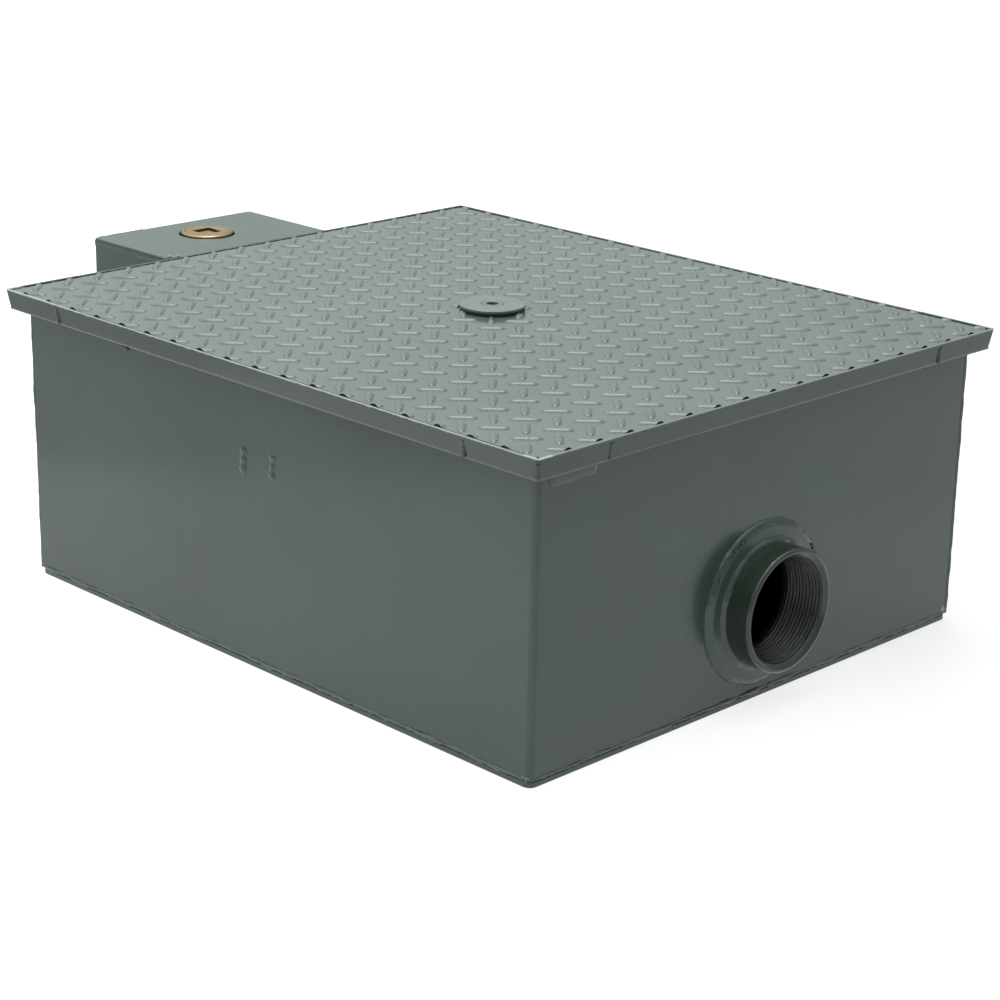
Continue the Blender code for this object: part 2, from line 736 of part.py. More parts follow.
def outlet_baffle(material, parts):
    """Lift-out plate that lets only the water near the floor through, standing on two legs."""
    half = baffle_half_width()
    gap = half - BAFFLE_LEG
    bottom = WALL_BOTTOM
    outline = [
        (-half, bottom),
        (-gap, bottom),
        (-gap, bottom + UNDERFLOW_HEIGHT),
        (gap, bottom + UNDERFLOW_HEIGHT),
        (gap, bottom),
        (half, bottom),
        (half, BAFFLE_TOP),
        (-half, BAFFLE_TOP),
    ]
    loops = [outline, hand_slot()]
    plate_across("outlet_baffle", loops, BAFFLE_THICKNESS, OUTLET_BAFFLE_X, material, parts)


def baffle_guide(name, x, side, material, parts):
    """Channel on a long wall that holds one end of a baffle; side is the sign of its y."""
    half_slot = BAFFLE_THICKNESS / 2 + BAFFLE_PLAY
    half = half_slot + GUIDE_STEEL
    back = HALF_WIDTH - SHEET - FIT
    front = back - GUIDE_DEPTH
    outline = [
        (x - half, side * back),
        (x - half, side * front),
        (x - half_slot, side * front),
        (x - half_slot, side * (back - GUIDE_STEEL)),
        (x + half_slot, side * (back - GUIDE_STEEL)),
        (x + half_slot, side * front),
        (x + half, side * front),
        (x + half, side * back),
    ]
    item = outline_solid(name, [outline], GUIDE_TOP - WALL_BOTTOM, material, parts)
    item.location.z = (WALL_BOTTOM + GUIDE_TOP) / 2


def relief_nipple(material, parts):
    """Short pipe high in the outlet wall, so that air passes between tank and trap box."""
    profile = ring_profile(RELIEF_BORE_RADIUS, RELIEF_RADIUS, -RELIEF_LENGTH / 2, RELIEF_LENGTH / 2)
    item = turned("relief_nipple", profile, SMALL_SEGMENTS, material, parts, closed=True)
    item.location = (-HALF_LENGTH + SHEET / 2, RELIEF_Y, RELIEF_HEIGHT)
    item.rotation_euler.y = math.pi / 2


def trap_box_floor(material, parts):
    low = (BOX_FAR_X, -BOX_WIDTH / 2)
    high = (-HALF_LENGTH - FIT, BOX_WIDTH / 2)
    item = outline_solid("trap_box_floor", [rectangle(low, high)], FLOOR_PLATE, material, parts)
    item.location.z = FLOOR_PLATE / 2


def trap_box_shell(material, parts, cutters):
    """One folded sheet round three sides of the trap box, notched under the rim."""
    near = -HALF_LENGTH - FIT
    path = [
        (near, BOX_WIDTH / 2),
        (BOX_FAR_X, BOX_WIDTH / 2),
        (BOX_FAR_X, -BOX_WIDTH / 2),
        (near, -BOX_WIDTH / 2),
    ]
    item = upright_sheet(
        "trap_box_shell", path, BOX_BEND_RADIUS, WALL_BOTTOM, BOX_SHELL_TOP, material, parts
    )
    notch = box_cutter(
        "rim_notch",
        (BOX_TOP_NEAR_X, -BOX_WIDTH, WALL_TOP),
        (-HALF_LENGTH + CUT_PAST, BOX_WIDTH, RIM_TOP + CUT_PAST),
        cutters,
    )
    boolean(item, notch, "DIFFERENCE")
    boolean(item, coupling_hole("outlet_hole", BOX_FAR_X, OUTLET_HEIGHT, cutters), "DIFFERENCE")


def trap_box_top(material, parts):
    low = (BOX_FAR_X, -BOX_WIDTH / 2)
    high = (BOX_TOP_NEAR_X, BOX_WIDTH / 2)
    centre = (PLUG_X, 0)
    hole = arc(centre, CLEANOUT_HOLE_RADIUS, 0, 2 * math.pi, PIPE_SEGMENTS)[:-1]
    outline = rounded_rectangle(low, high, BOX_BEND_RADIUS)
    item = outline_solid("trap_box_top", [outline, hole], BOX_TOP_PLATE, material, parts)
    item.location.z = BOX_TOP - BOX_TOP_PLATE / 2


def trap_weir(material, parts):
    """Plate across the trap box: the water climbs over it, and that holds the level in the tank."""
    half = BOX_WIDTH / 2 - SHEET - FIT
    loops = [rectangle((-half, WALL_BOTTOM), (half, WEIR_TOP))]
    plate_across("trap_weir", loops, SHEET, WEIR_X, material, parts)


def cleanout_ferrule(material, parts):
    """Threaded ring under the trap box's top that the plug screws into."""
    inner = PLUG_RADIUS + PLUG_CLEARANCE
    profile = ring_profile(inner, inner + FERRULE_WALL, -FERRULE_LENGTH, 0)
    item = turned("cleanout_ferrule", profile, PIPE_SEGMENTS, material, parts, closed=True)
    item.location = (PLUG_X, 0, BOX_SHELL_TOP)


def cleanout_plug(material, parts, cutters):
    """Tapered plug with a square socket, standing a little proud of the box."""
    top = BOX_TOP + PLUG_PROUD
    profile = [
        (0, 0),
        (PLUG_RADIUS - PLUG_EDGE, 0),
        (PLUG_RADIUS, -PLUG_EDGE),
        (PLUG_RADIUS - PLUG_TAPER, -PLUG_LENGTH),
        (0, -PLUG_LENGTH),
    ]
    item = turned("cleanout_plug", profile, PIPE_SEGMENTS, material, parts)
    item.location = (PLUG_X, 0, top)
    half = PLUG_SOCKET / 2
    socket = box_cutter(
        "plug_socket",
        (PLUG_X - half, -half, top - PLUG_SOCKET_DEPTH),
        (PLUG_X + half, half, top + CUT_PAST),
        cutters,
    )
    boolean(item, socket, "DIFFERENCE")


def build():
    clear_scene()
    parts = new_collection("grease_trap")
    cutters = new_collection("cutters")
    paint = new_material("tank_paint", (0.085, 0.105, 0.098), 0.30, 0.0)
    cover_paint = new_material("cover_paint", (0.135, 0.160, 0.150), 0.38, 0.0)
    inside_paint = new_material("inside_paint", (0.070, 0.085, 0.080), 0.45, 0.0)
    rubber = new_material("black_rubber", (0.012, 0.012, 0.013), 0.75, 0.0)
    brass = new_material("plug_brass", (0.55, 0.34, 0.15), 0.32, 1.0)
    zinc = new_material("bolt_zinc", (0.45, 0.46, 0.46), 0.40, 1.0)
    tank_floor(paint, parts)
    inlet_wall_sheet(paint, parts, cutters)
    outlet_wall_sheet(paint, parts, cutters)
    rim(paint, parts)
    cover_gasket(rubber, parts)
    cover_plate(cover_paint, parts, cutters)
    cover_disc(cover_paint, parts)
    disc_seal(rubber, parts)
    cover_bolt(zinc, parts, cutters)
    hold_down_bar(inside_paint, parts, cutters)
    hold_down_nut(zinc, parts)
    coupling("inlet_coupling", HALF_LENGTH, INLET_HEIGHT, 1, paint, parts)
    coupling_collar("inlet_collar", HALF_LENGTH, INLET_HEIGHT, 1, paint, parts)
    coupling("outlet_coupling", BOX_FAR_X, OUTLET_HEIGHT, -1, paint, parts)
    coupling_collar("outlet_collar", BOX_FAR_X, OUTLET_HEIGHT, -1, paint, parts)
    inlet_baffle(inside_paint, parts)
    outlet_baffle(inside_paint, parts)
    baffle_guide("inlet_guide_near", INLET_BAFFLE_X, -1, inside_paint, parts)
    baffle_guide("inlet_guide_far", INLET_BAFFLE_X, 1, inside_paint, parts)
    baffle_guide("outlet_guide_near", OUTLET_BAFFLE_X, -1, inside_paint, parts)
    baffle_guide("outlet_guide_far", OUTLET_BAFFLE_X, 1, inside_paint, parts)
    relief_nipple(inside_paint, parts)
    trap_box_floor(paint, parts)
    trap_box_shell(paint, parts, cutters)
    trap_box_top(paint, parts)
    trap_weir(inside_paint, parts)
    cleanout_ferrule(inside_paint, parts)
    cleanout_plug(brass, parts, cutters)


build()
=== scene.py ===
import json
import math

import bmesh
import bpy
from mathutils import Matrix, Vector, noise


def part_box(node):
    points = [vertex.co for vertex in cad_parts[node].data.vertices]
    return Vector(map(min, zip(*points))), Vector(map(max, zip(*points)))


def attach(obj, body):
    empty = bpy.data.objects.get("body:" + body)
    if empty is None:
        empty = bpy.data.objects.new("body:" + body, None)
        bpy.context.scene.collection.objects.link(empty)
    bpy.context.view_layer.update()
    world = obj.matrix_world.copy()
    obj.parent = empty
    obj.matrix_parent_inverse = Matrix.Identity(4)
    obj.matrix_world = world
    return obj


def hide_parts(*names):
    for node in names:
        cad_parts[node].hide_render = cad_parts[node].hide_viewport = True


# Noise vectors take their offsets from the clock unless a seed is set
noise.seed_set(7)
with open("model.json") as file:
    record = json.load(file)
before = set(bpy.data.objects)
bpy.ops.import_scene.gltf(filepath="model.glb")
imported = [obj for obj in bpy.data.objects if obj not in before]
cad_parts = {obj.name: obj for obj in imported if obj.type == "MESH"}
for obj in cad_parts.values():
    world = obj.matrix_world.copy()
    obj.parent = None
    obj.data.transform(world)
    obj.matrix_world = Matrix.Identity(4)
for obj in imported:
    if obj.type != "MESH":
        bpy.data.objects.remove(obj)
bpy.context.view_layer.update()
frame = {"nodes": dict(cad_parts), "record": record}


def corner(node, end, axis):
    """One coordinate of a node's box: end 0 is its lowest corner, end 1 its highest."""
    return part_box(node)[end][axis]


# Sizes read from the frame, in metres
HALF_LENGTH = corner("wall_near_and_inlet", 1, 0)
HALF_WIDTH = -corner("wall_near_and_inlet", 0, 1)
RIM_TOP = corner("rim_bar_near", 1, 2)
RIM_BOTTOM = corner("rim_bar_near", 0, 2)
RIM_OUT_TOP = -corner("rim_bar_near", 0, 1) - HALF_WIDTH
SEAM_X = corner("rim_bar_near", 1, 0)
SEAM_Y = corner("rim_bar_inlet", 1, 1)
COVER_HALF = (corner("cover_plate", 1, 0), corner("cover_plate", 1, 1))
COVER_LOW = corner("cover_plate", 0, 2)
SEAL_RADIUS = corner("disc_seal", 1, 0)
DISC_TOP = corner("cover_disc", 1, 2)
COUPLING_RADIUS = corner("inlet_coupling", 1, 1)
COUPLING_OUT = corner("inlet_coupling", 1, 0) - HALF_LENGTH
COUPLING_IN = HALF_LENGTH - corner("inlet_coupling", 0, 0)
COUPLING_Z = (corner("inlet_coupling", 0, 2) + corner("inlet_coupling", 1, 2)) / 2
COLLAR_TOE_RADIUS = corner("inlet_collar", 1, 1)
BOX_FAR_X = corner("trap_box_shell", 0, 0)
BOX_NEAR_X = corner("trap_box_top", 1, 0)
BOX_HALF = corner("trap_box_top", 1, 1)
BOX_TOP = corner("trap_box_top", 1, 2)
PLUG_X = (corner("cleanout_plug", 0, 0) + corner("cleanout_plug", 1, 0)) / 2
PLUG_RADIUS = corner("cleanout_plug", 1, 1)

# Sizes that the scene adds, in metres
COVER_TOP = RIM_TOP - 0.0008
BOLT_HOLE = 0.012025
LUG_LENGTH = 0.0240
LUG_WIDTH = 0.0072
LUG_HEIGHT = 0.0019
LUG_PITCH = (0.0335, 0.0319)
LUG_ORIGIN = (0.0106, 0.0199)
LUG_SKEW = math.radians(-1.0)
COUPLING_BORE = COUPLING_RADIUS - 0.0080
COLLAR_RADIUS = COLLAR_TOE_RADIUS - 0.0045
COLLAR_DEPTH = 0.0045
THREAD_PITCH = 0.003175
RIM_LEAN = 0.0024
# How far in from the lip's outer edge the painted highlight runs before the painted gap shadow starts
LIP_HIGHLIGHT_WIDTH = 0.0011
CORNER_ROUND = 0.0035
COVER_CORNER = 0.004
HOLE_SIDES = 32
HOLLOW_DEPTH = 0.0009
MOUTH_ROUND = 0.0030
THREAD_STEP = 0.00042
THREAD_DEPTH = 0.0013
THREAD_TAPER = 0.0012
WALL_BEND = 0.0055
SOCKET_FLOOR_SIDE = 0.0150
SOCKET_FLOOR_DEPTH = 0.0030

# The room: half width of the paper, the lamp, the floor, and how bright paper and floor glow
PAPER_HALF = 0.69
PAPER_GLOW = (1.03, 0.70)
FLOOR_GLOW = 0.60
FLOOR_HALF = 14.0
LAMP_SIZE = 1.2
LAMP_POWER = 22.0
LAMP_PLACE = (-0.1, 0.1, 2.6)
CAMERA_PLACE = (1.44082, -1.42866, 0.77263)
CAMERA_LENS = 89.17
CAMERA_BEARING, CAMERA_DIP, CAMERA_ROLL = 44.969, 18.649, 1.135


def node_tree(name):
    """New material with its node tree and its main shader."""
    material = bpy.data.materials.new(name)
    material.use_nodes = True
    tree = material.node_tree
    return material, tree, tree.nodes["Principled BSDF"]


def add(tree, kind, **values):
    """New shader node with properties or inputs set by name."""
    node = tree.nodes.new(kind)
    for key, value in values.items():
        if hasattr(node, key):
            setattr(node, key, value)
        else:
            node.inputs[key.replace("_", " ")].default_value = value
    return node


def coordinates(tree):
    """The shaded point in the piece's own coordinates."""
    return add(tree, "ShaderNodeTexCoord").outputs["Object"]


def noise_field(tree, source, scale, detail=3.0, roughness=0.5, distortion=0.0):
    """Noise pattern whose scale is counted per metre."""
    node = add(tree, "ShaderNodeTexNoise")
    node.inputs["Scale"].default_value = scale
    node.inputs["Detail"].default_value = detail
    node.inputs["Roughness"].default_value = roughness
    node.inputs["Distortion"].default_value = distortion
    tree.links.new(source, node.inputs["Vector"])
    return node.outputs["Fac"]


def remap(tree, source, low, high, to_low, to_high):
    """One range of values mapped onto another."""
    node = add(tree, "ShaderNodeMapRange")
    node.inputs["From Min"].default_value = low
    node.inputs["From Max"].default_value = high
    node.inputs["To Min"].default_value = to_low
    node.inputs["To Max"].default_value = to_high
    tree.links.new(source, node.inputs["Value"])
    return node.outputs["Result"]


def mix_colour(tree, factor, first, second, blend="MIX"):
    """Two colours blended by a factor."""
    node = add(tree, "ShaderNodeMix", data_type="RGBA", blend_type=blend)
    for socket, value in (("A", first), ("B", second)):
        target = [s for s in node.inputs if s.name == socket and s.type == "RGBA"][0]
        if isinstance(value, tuple):
            target.default_value = (*value, 1.0)
        else:
            tree.links.new(value, target)
    factor_socket = [s for s in node.inputs if s.name == "Factor" and s.type == "VALUE"][0]
    if isinstance(factor, float):
        factor_socket.default_value = factor
    else:
        tree.links.new(factor, factor_socket)
    return [s for s in node.outputs if s.type == "RGBA"][0]


def bump(tree, height, distance, strength=1.0, normal=None):
    """Bump from a height pattern, over another normal where one is given."""
    node = add(tree, "ShaderNodeBump")
    node.inputs["Strength"].default_value = strength
    node.inputs["Distance"].default_value = distance
    tree.links.new(height, node.inputs["Height"])
    if normal is not None:
        tree.links.new(normal, node.inputs["Normal"])
    return node.outputs["Normal"]


def spot_mask(tree, at, spots, edge):
    """One near each spot (x, y, z, radius) and nothing elsewhere, with a ragged edge."""
    total = None
    for x, y, z, radius in spots:
        away = add(tree, "ShaderNodeVectorMath", operation="DISTANCE")
        away.inputs[1].default_value = (x, y, z)
        tree.links.new(at, away.inputs[0])
        near = remap(tree, away.outputs["Value"], radius * 0.5, radius * 1.5, 1.0, 0.0)
        total = near if total is None else combine(tree, "MAXIMUM", total, near)
    ragged = combine(tree, "ADD", total, remap(tree, edge, 0.3, 0.7, -0.35, 0.35))
    return combine(tree, "MULTIPLY", remap(tree, ragged, 0.45, 0.75, 0.0, 1.0), total)


def combine(tree, operation, first, second):
    """One math node fed with two values or outputs."""
    node = add(tree, "ShaderNodeMath", operation=operation)
    for socket, value in zip(node.inputs, (first, second)):
        if isinstance(value, float):
            socket.default_value = value
        else:
            tree.links.new(value, socket)
    return node.outputs[0]


# Rust spots and pale bruises in the paint: place and radius in metres
RUST_SPOTS = (
    (-0.2108, -0.0869, 0.2572, 0.0035),
    (-0.2330, -0.0570, 0.2572, 0.0022),
    (-0.2400, -0.0620, 0.2572, 0.0016),
    (-0.1010, -0.0560, 0.2572, 0.0012),
    (-0.0420, -0.1350, 0.2572, 0.0010),
)
BRUISES = (
    (0.3003, -0.2555, 0.0051, 0.0012),
    (0.3050, 0.2500, 0.0091, 0.0040),
    (0.3095, 0.0562, 0.1176, 0.0030),
)


def epoxy(name, colour, roughness, waviness=0.0006, grime=0.25, specks=True):
    """Sprayed epoxy as a material alone, with no further nodes to follow."""
    return epoxy_parts(name, colour, roughness, waviness, grime, specks)[0]


def epoxy_parts(name, colour, roughness, waviness=0.0006, grime=0.25, specks=True):
    """Sprayed epoxy: orange peel, slow waves, thin and thick coats, dust nibs and a few rust spots."""
    material, tree, shader = node_tree(name)
    at = coordinates(tree)
    thick = noise_field(tree, at, 7.0, 4.0, 0.6)
    mottled = noise_field(tree, at, 60.0, 4.0, 0.6)
    grit = noise_field(tree, at, 520.0, 1.0, 0.4)
    base = mix_colour(
        tree,
        remap(tree, thick, 0.3, 0.7, 0.0, 1.0),
        tuple(c * (1.0 - 0.5 * grime) for c in colour),
        tuple(c * (1.0 + 0.35 * grime) for c in colour),
    )
    dim = tuple(c * 0.72 for c in colour)
    base = mix_colour(tree, remap(tree, mottled, 0.35, 0.7, 0.0, 0.35 * grime), base, dim)
    if specks:
        area = noise_field(tree, at, 11.0, 2.0, 0.5)
        dots = remap(tree, grit, 0.74, 0.80, 0.0, 1.0)
        keep = combine(tree, "MULTIPLY", dots, remap(tree, area, 0.60, 0.72, 0.0, 0.8))
        base = mix_colour(tree, keep, base, (0.10, 0.055, 0.032))
        blotch = noise_field(tree, at, 420.0, 3.0, 0.7)
        base = mix_colour(tree, spot_mask(tree, at, RUST_SPOTS, blotch), base, (0.11, 0.045, 0.022))
        base = mix_colour(tree, spot_mask(tree, at, BRUISES, blotch), base, (0.16, 0.18, 0.17))
    tree.links.new(base, shader.inputs["Base Color"])
    gloss = remap(tree, mottled, 0.3, 0.75, roughness * 0.82, roughness * 1.25)
    tree.links.new(gloss, shader.inputs["Roughness"])
    slow = bump(tree, noise_field(tree, at, 9.0, 2.0, 0.4), waviness)
    peel = bump(tree, noise_field(tree, at, 330.0, 2.0, 0.5), 0.00003, 1.0, slow)
    nibs = bump(tree, remap(tree, grit, 0.70, 0.80, 0.0, 1.0), 0.00012, 1.0, peel)
    tree.links.new(nibs, shader.inputs["Normal"])
    return material, tree, shader


def rim_material():
    """The rim's paint with painted light: a painted highlight along the lip, a painted highlight along its
    foot, and a painted shadow of the gap by the cover.
    """
    material, tree, shader = epoxy_parts("rim_epoxy_with_painted_light", (0.017, 0.030, 0.028), 0.19)
    at = coordinates(tree)
    parts = add(tree, "ShaderNodeSeparateXYZ")
    tree.links.new(at, parts.inputs[0])
    ragged = remap(tree, noise_field(tree, at, 160.0, 3.0, 0.6), 0.3, 0.7, -0.0004, 0.0004)
    height = combine(tree, "ADD", parts.outputs["Z"], ragged)
    lip = remap(tree, height, RIM_TOP - 0.0009, RIM_TOP - 0.0005, 0.0, 1.0)
    foot = remap(tree, height, RIM_BOTTOM + 0.0028, RIM_BOTTOM + 0.0018, 0.0, 0.8)
    edge = -HALF_WIDTH - RIM_OUT_TOP
    inner_edge = edge + LIP_HIGHLIGHT_WIDTH
    inner = remap(tree, parts.outputs["Y"], inner_edge, inner_edge + 0.0003, 0.0, 1.0)
    near_long = remap(tree, parts.outputs["Y"], -HALF_WIDTH, -HALF_WIDTH + 0.001, 1.0, 0.0)
    near_end = remap(tree, parts.outputs["X"], HALF_LENGTH - 0.001, HALF_LENGTH, 0.0, 1.0)
    long_only = combine(tree, "MULTIPLY", near_long, combine(tree, "SUBTRACT", 1.0, near_end))
    near = combine(tree, "MULTIPLY", inner, long_only)
    along = combine(tree, "MULTIPLY", near, remap(tree, parts.outputs["X"], -0.27, -0.20, 0.0, 1.0))
    sides = combine(tree, "MAXIMUM", near_long, combine(tree, "MULTIPLY", near_end, 0.35))
    own = shader.inputs["Base Color"].links[0].from_socket
    # Paler band along the rim's foot: a painted highlight along its bottom edge.
    painted_foot_highlight = mix_colour(tree, foot, own, (0.055, 0.078, 0.073))
    # Pale line on the lip, strongest on the near long side: a painted highlight along the rim's top edge.
    bright = mix_colour(tree, combine(tree, "MULTIPLY", lip, sides), painted_foot_highlight, (0.22, 0.25, 0.24))
    # Near-black line on the lip of the near long side, next to the cover: a painted shadow of the gap between
    # cover and rim.
    dark = combine(tree, "MULTIPLY", along, lip)
    tree.links.new(mix_colour(tree, dark, bright, (0.004, 0.005, 0.005)), shader.inputs["Base Color"])
    rough = shader.inputs["Roughness"].links[0].from_socket
    dull = combine(tree, "ADD", rough, combine(tree, "MULTIPLY", dark, 0.6))
    tree.links.new(dull, shader.inputs["Roughness"])
    return material


def rubber_material():
    """Black rubber with a fine grain and some dust."""
    material, tree, shader = node_tree("rubber")
    at = coordinates(tree)
    grain = noise_field(tree, at, 700.0, 4.0, 0.6)
    dusty = noise_field(tree, at, 40.0, 4.0, 0.6)
    dust = remap(tree, dusty, 0.4, 0.75, 0.0, 0.7)
    base = mix_colour(tree, dust, (0.008, 0.009, 0.009), (0.022, 0.024, 0.023))
    tree.links.new(base, shader.inputs["Base Color"])
    tree.links.new(remap(tree, dusty, 0.3, 0.7, 0.62, 0.85), shader.inputs["Roughness"])
    tree.links.new(bump(tree, grain, 0.00008, 0.8), shader.inputs["Normal"])
    return material


def brass_material():
    """Turned bronze with the marks of the lathe, a groove near its rim with painted shade in it, dulled and
    darker in patches.
    """
    material, tree, shader = node_tree("brass")
    at = coordinates(tree)
    dull = noise_field(tree, at, 55.0, 5.0, 0.65, 0.6)
    fine = noise_field(tree, at, 900.0, 3.0, 0.6)
    level = add(tree, "ShaderNodeVectorMath", operation="MULTIPLY")
    level.inputs[1].default_value = (1.0, 1.0, 0.0)
    tree.links.new(at, level.inputs[0])
    away = add(tree, "ShaderNodeVectorMath", operation="DISTANCE")
    away.inputs[1].default_value = (PLUG_X, 0.0, 0.0)
    tree.links.new(level.outputs["Vector"], away.inputs[0])
    radius = away.outputs["Value"]
    groove = combine(
        tree,
        "MULTIPLY",
        remap(tree, radius, PLUG_RADIUS - 0.0046, PLUG_RADIUS - 0.0040, 0.0, 1.0),
        remap(tree, radius, PLUG_RADIUS - 0.0034, PLUG_RADIUS - 0.0028, 1.0, 0.0),
    )
    turned = combine(tree, "SINE", combine(tree, "MULTIPLY", radius, 11000.0), 0.0)
    dulled = remap(tree, dull, 0.35, 0.7, 0.0, 1.0)
    clean = mix_colour(tree, dulled, (0.31, 0.21, 0.115), (0.21, 0.145, 0.085))
    # The groove is darkened in colour as well as cut by bump: painted shade in the groove.
    tree.links.new(mix_colour(tree, groove, clean, (0.10, 0.065, 0.04)), shader.inputs["Base Color"])
    shader.inputs["Metallic"].default_value = 1.0
    tree.links.new(remap(tree, dull, 0.3, 0.75, 0.30, 0.50), shader.inputs["Roughness"])
    cast = bump(tree, fine, 0.00004, 0.6, bump(tree, dull, 0.0001, 0.5))
    cut = bump(tree, groove, 0.0005, -1.0, bump(tree, turned, 0.00001, 0.6, cast))
    tree.links.new(cut, shader.inputs["Normal"])
    return material


def zinc_material():
    """Zinc plate on the bolt's shank; its head was sprayed with the disc that it sits in."""
    material, tree, shader = node_tree("zinc")
    at = coordinates(tree)
    cloud = noise_field(tree, at, 90.0, 5.0, 0.6)
    height = add(tree, "ShaderNodeSeparateXYZ")
    tree.links.new(at, height.inputs[0])
    sprayed = remap(tree, height.outputs["Z"], DISC_TOP - 0.0012, DISC_TOP - 0.0009, 0.0, 1.0)
    metal = mix_colour(tree, remap(tree, cloud, 0.35, 0.7, 0.0, 1.0), (0.42, 0.43, 0.44), (0.28, 0.29, 0.29))
    # The sprayed head takes COVER_COLOUR, and with it the cover's painted light.
    tree.links.new(mix_colour(tree, sprayed, metal, COVER_COLOUR), shader.inputs["Base Color"])
    tree.links.new(remap(tree, sprayed, 0.0, 1.0, 1.0, 0.0), shader.inputs["Metallic"])
    tree.links.new(remap(tree, cloud, 0.3, 0.7, 0.22, 0.36), shader.inputs["Roughness"])
    grain = bump(tree, noise_field(tree, at, 800.0, 2.0, 0.5), 0.00003, 0.7)
    tree.links.new(grain, shader.inputs["Normal"])
    return material


def shadow_material():
    """Painted shade for the hollow under a lug that the shears cut open: near black with some dust."""
    material, tree, shader = node_tree("painted_shade_lug_hollow")
    at = coordinates(tree)
    dusty = noise_field(tree, at, 600.0, 3.0, 0.6)
    dust = remap(tree, dusty, 0.4, 0.8, 0.0, 1.0)
    base = mix_colour(tree, dust, (0.004, 0.005, 0.005), (0.012, 0.013, 0.012))
    tree.links.new(base, shader.inputs["Base Color"])
    shader.inputs["Roughness"].default_value = 0.8
    tree.links.new(bump(tree, dusty, 0.0002, 0.8), shader.inputs["Normal"])
    return material


TANK_COLOUR = (0.027, 0.044, 0.042)
# COVER_COLOUR is lighter than TANK_COLOUR though the cover has the same epoxy: painted light on the
# upward-facing plate.
COVER_COLOUR = (0.066, 0.081, 0.077)
TANK = epoxy("tank_epoxy", TANK_COLOUR, 0.19)
COVER = epoxy("cover_epoxy_with_painted_light", COVER_COLOUR, 0.17, waviness=0.0007)
WELD_PAINT = epoxy("weld_epoxy", (0.020, 0.034, 0.031), 0.20, waviness=0.0002, grime=0.4, specks=False)
INSIDE = epoxy("inside_epoxy", (0.030, 0.046, 0.042), 0.34, grime=0.5)
RIM_PAINT = rim_material()
# Near black: the threads' own dark steel, darkened further as painted shade inside the bore.
THREAD_DARK_AND_SHADE = epoxy("thread_steel_and_painted_shade", (0.004, 0.007, 0.006), 0.42, waviness=0.0001, specks=False)
WET_PAINT = epoxy("wet_epoxy", (0.030, 0.045, 0.041), 0.05, waviness=0.0001, specks=False)
# Paler than the tank's epoxy: painted light on the fillets and lumps in the shade under the rim.
FILLET_PAINT = epoxy("fillet_epoxy_with_painted_light", (0.040, 0.062, 0.060), 0.16, waviness=0.0002, specks=False)
# Paler than the tank's epoxy: painted light on the weld beads of the walls.
SEAM_PAINT = epoxy("seam_epoxy_with_painted_light", (0.050, 0.072, 0.067), 0.13, waviness=0.0001, specks=False)
# Pale and glossy: a painted highlight for the glint of weld drops.
DROP_PAINT = epoxy("drop_epoxy_painted_highlight", (0.120, 0.150, 0.142), 0.06, waviness=0.0001, specks=False)
# Lighter than the cover's epoxy, which the disc shares: painted light on the disc.
DISC_LIGHTENED_PAINT = epoxy("disc_epoxy_with_painted_light", (0.090, 0.106, 0.102), 0.22, waviness=0.0002, specks=False)
COUPLING_PAINT = epoxy(
    "coupling_epoxy", (0.020, 0.028, 0.022), 0.20, waviness=0.0002, grime=0.35, specks=False
)
RUBBER = rubber_material()
BRASS = brass_material()
ZINC = zinc_material()
HOLLOW_SHADE = shadow_material()
BY_SLOT = {
    "tank_paint": TANK,
    "cover_paint": COVER,
    "inside_paint": INSIDE,
    "black_rubber": RUBBER,
    "plug_brass": BRASS,
    "bolt_zinc": ZINC,
}
SLOT_OF = {entry["node"]: entry["material_slot"] for entry in frame["record"]["subparts"]}
BODY_OF = {
    node: body
    for body, nodes in frame["record"]["behaviour"]["bodies"].items()
    for node in nodes
}


def piece(name, bm, material, body, stands_for=()):
    """Links a finished mesh as a piece that rides on a body."""
    mesh = bpy.data.meshes.new(name)
    bm.to_mesh(mesh)
    bm.free()
    item = bpy.data.objects.new(name, mesh)
    for entry in material if isinstance(material, (list, tuple)) else [material]:
        mesh.materials.append(entry)
    bpy.context.scene.collection.objects.link(item)
    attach(item, body)
    if stands_for:
        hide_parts(*stands_for)
    return item


def smooth(bm, angle=35.0):
    """Smooth shading, with edges sharper than an angle kept sharp."""
    limit = math.radians(angle)
    for face in bm.faces:
        face.smooth = True
    for edge in bm.edges:
        edge.smooth = not (len(edge.link_faces) == 2 and edge.calc_face_angle(0.0) > limit)


def keep_flats(item):
    """Lets large faces set the shading at their borders, so that flat sheet stays flat."""
    weighted = item.modifiers.new("weighted", "WEIGHTED_NORMAL")
    weighted.mode = "FACE_AREA"
    weighted.weight = 100
    weighted.keep_sharp = True
    return item


def is_outer_upright(edge, far):
    """Whether an edge is the upright one at a rim corner's outermost point."""
    first, second = edge.verts
    near = all(abs(v.co.x - far.x) < 0.004 and abs(v.co.y - far.y) < 0.004 for v in edge.verts)
    return near and abs(first.co.z - second.co.z) > 0.008


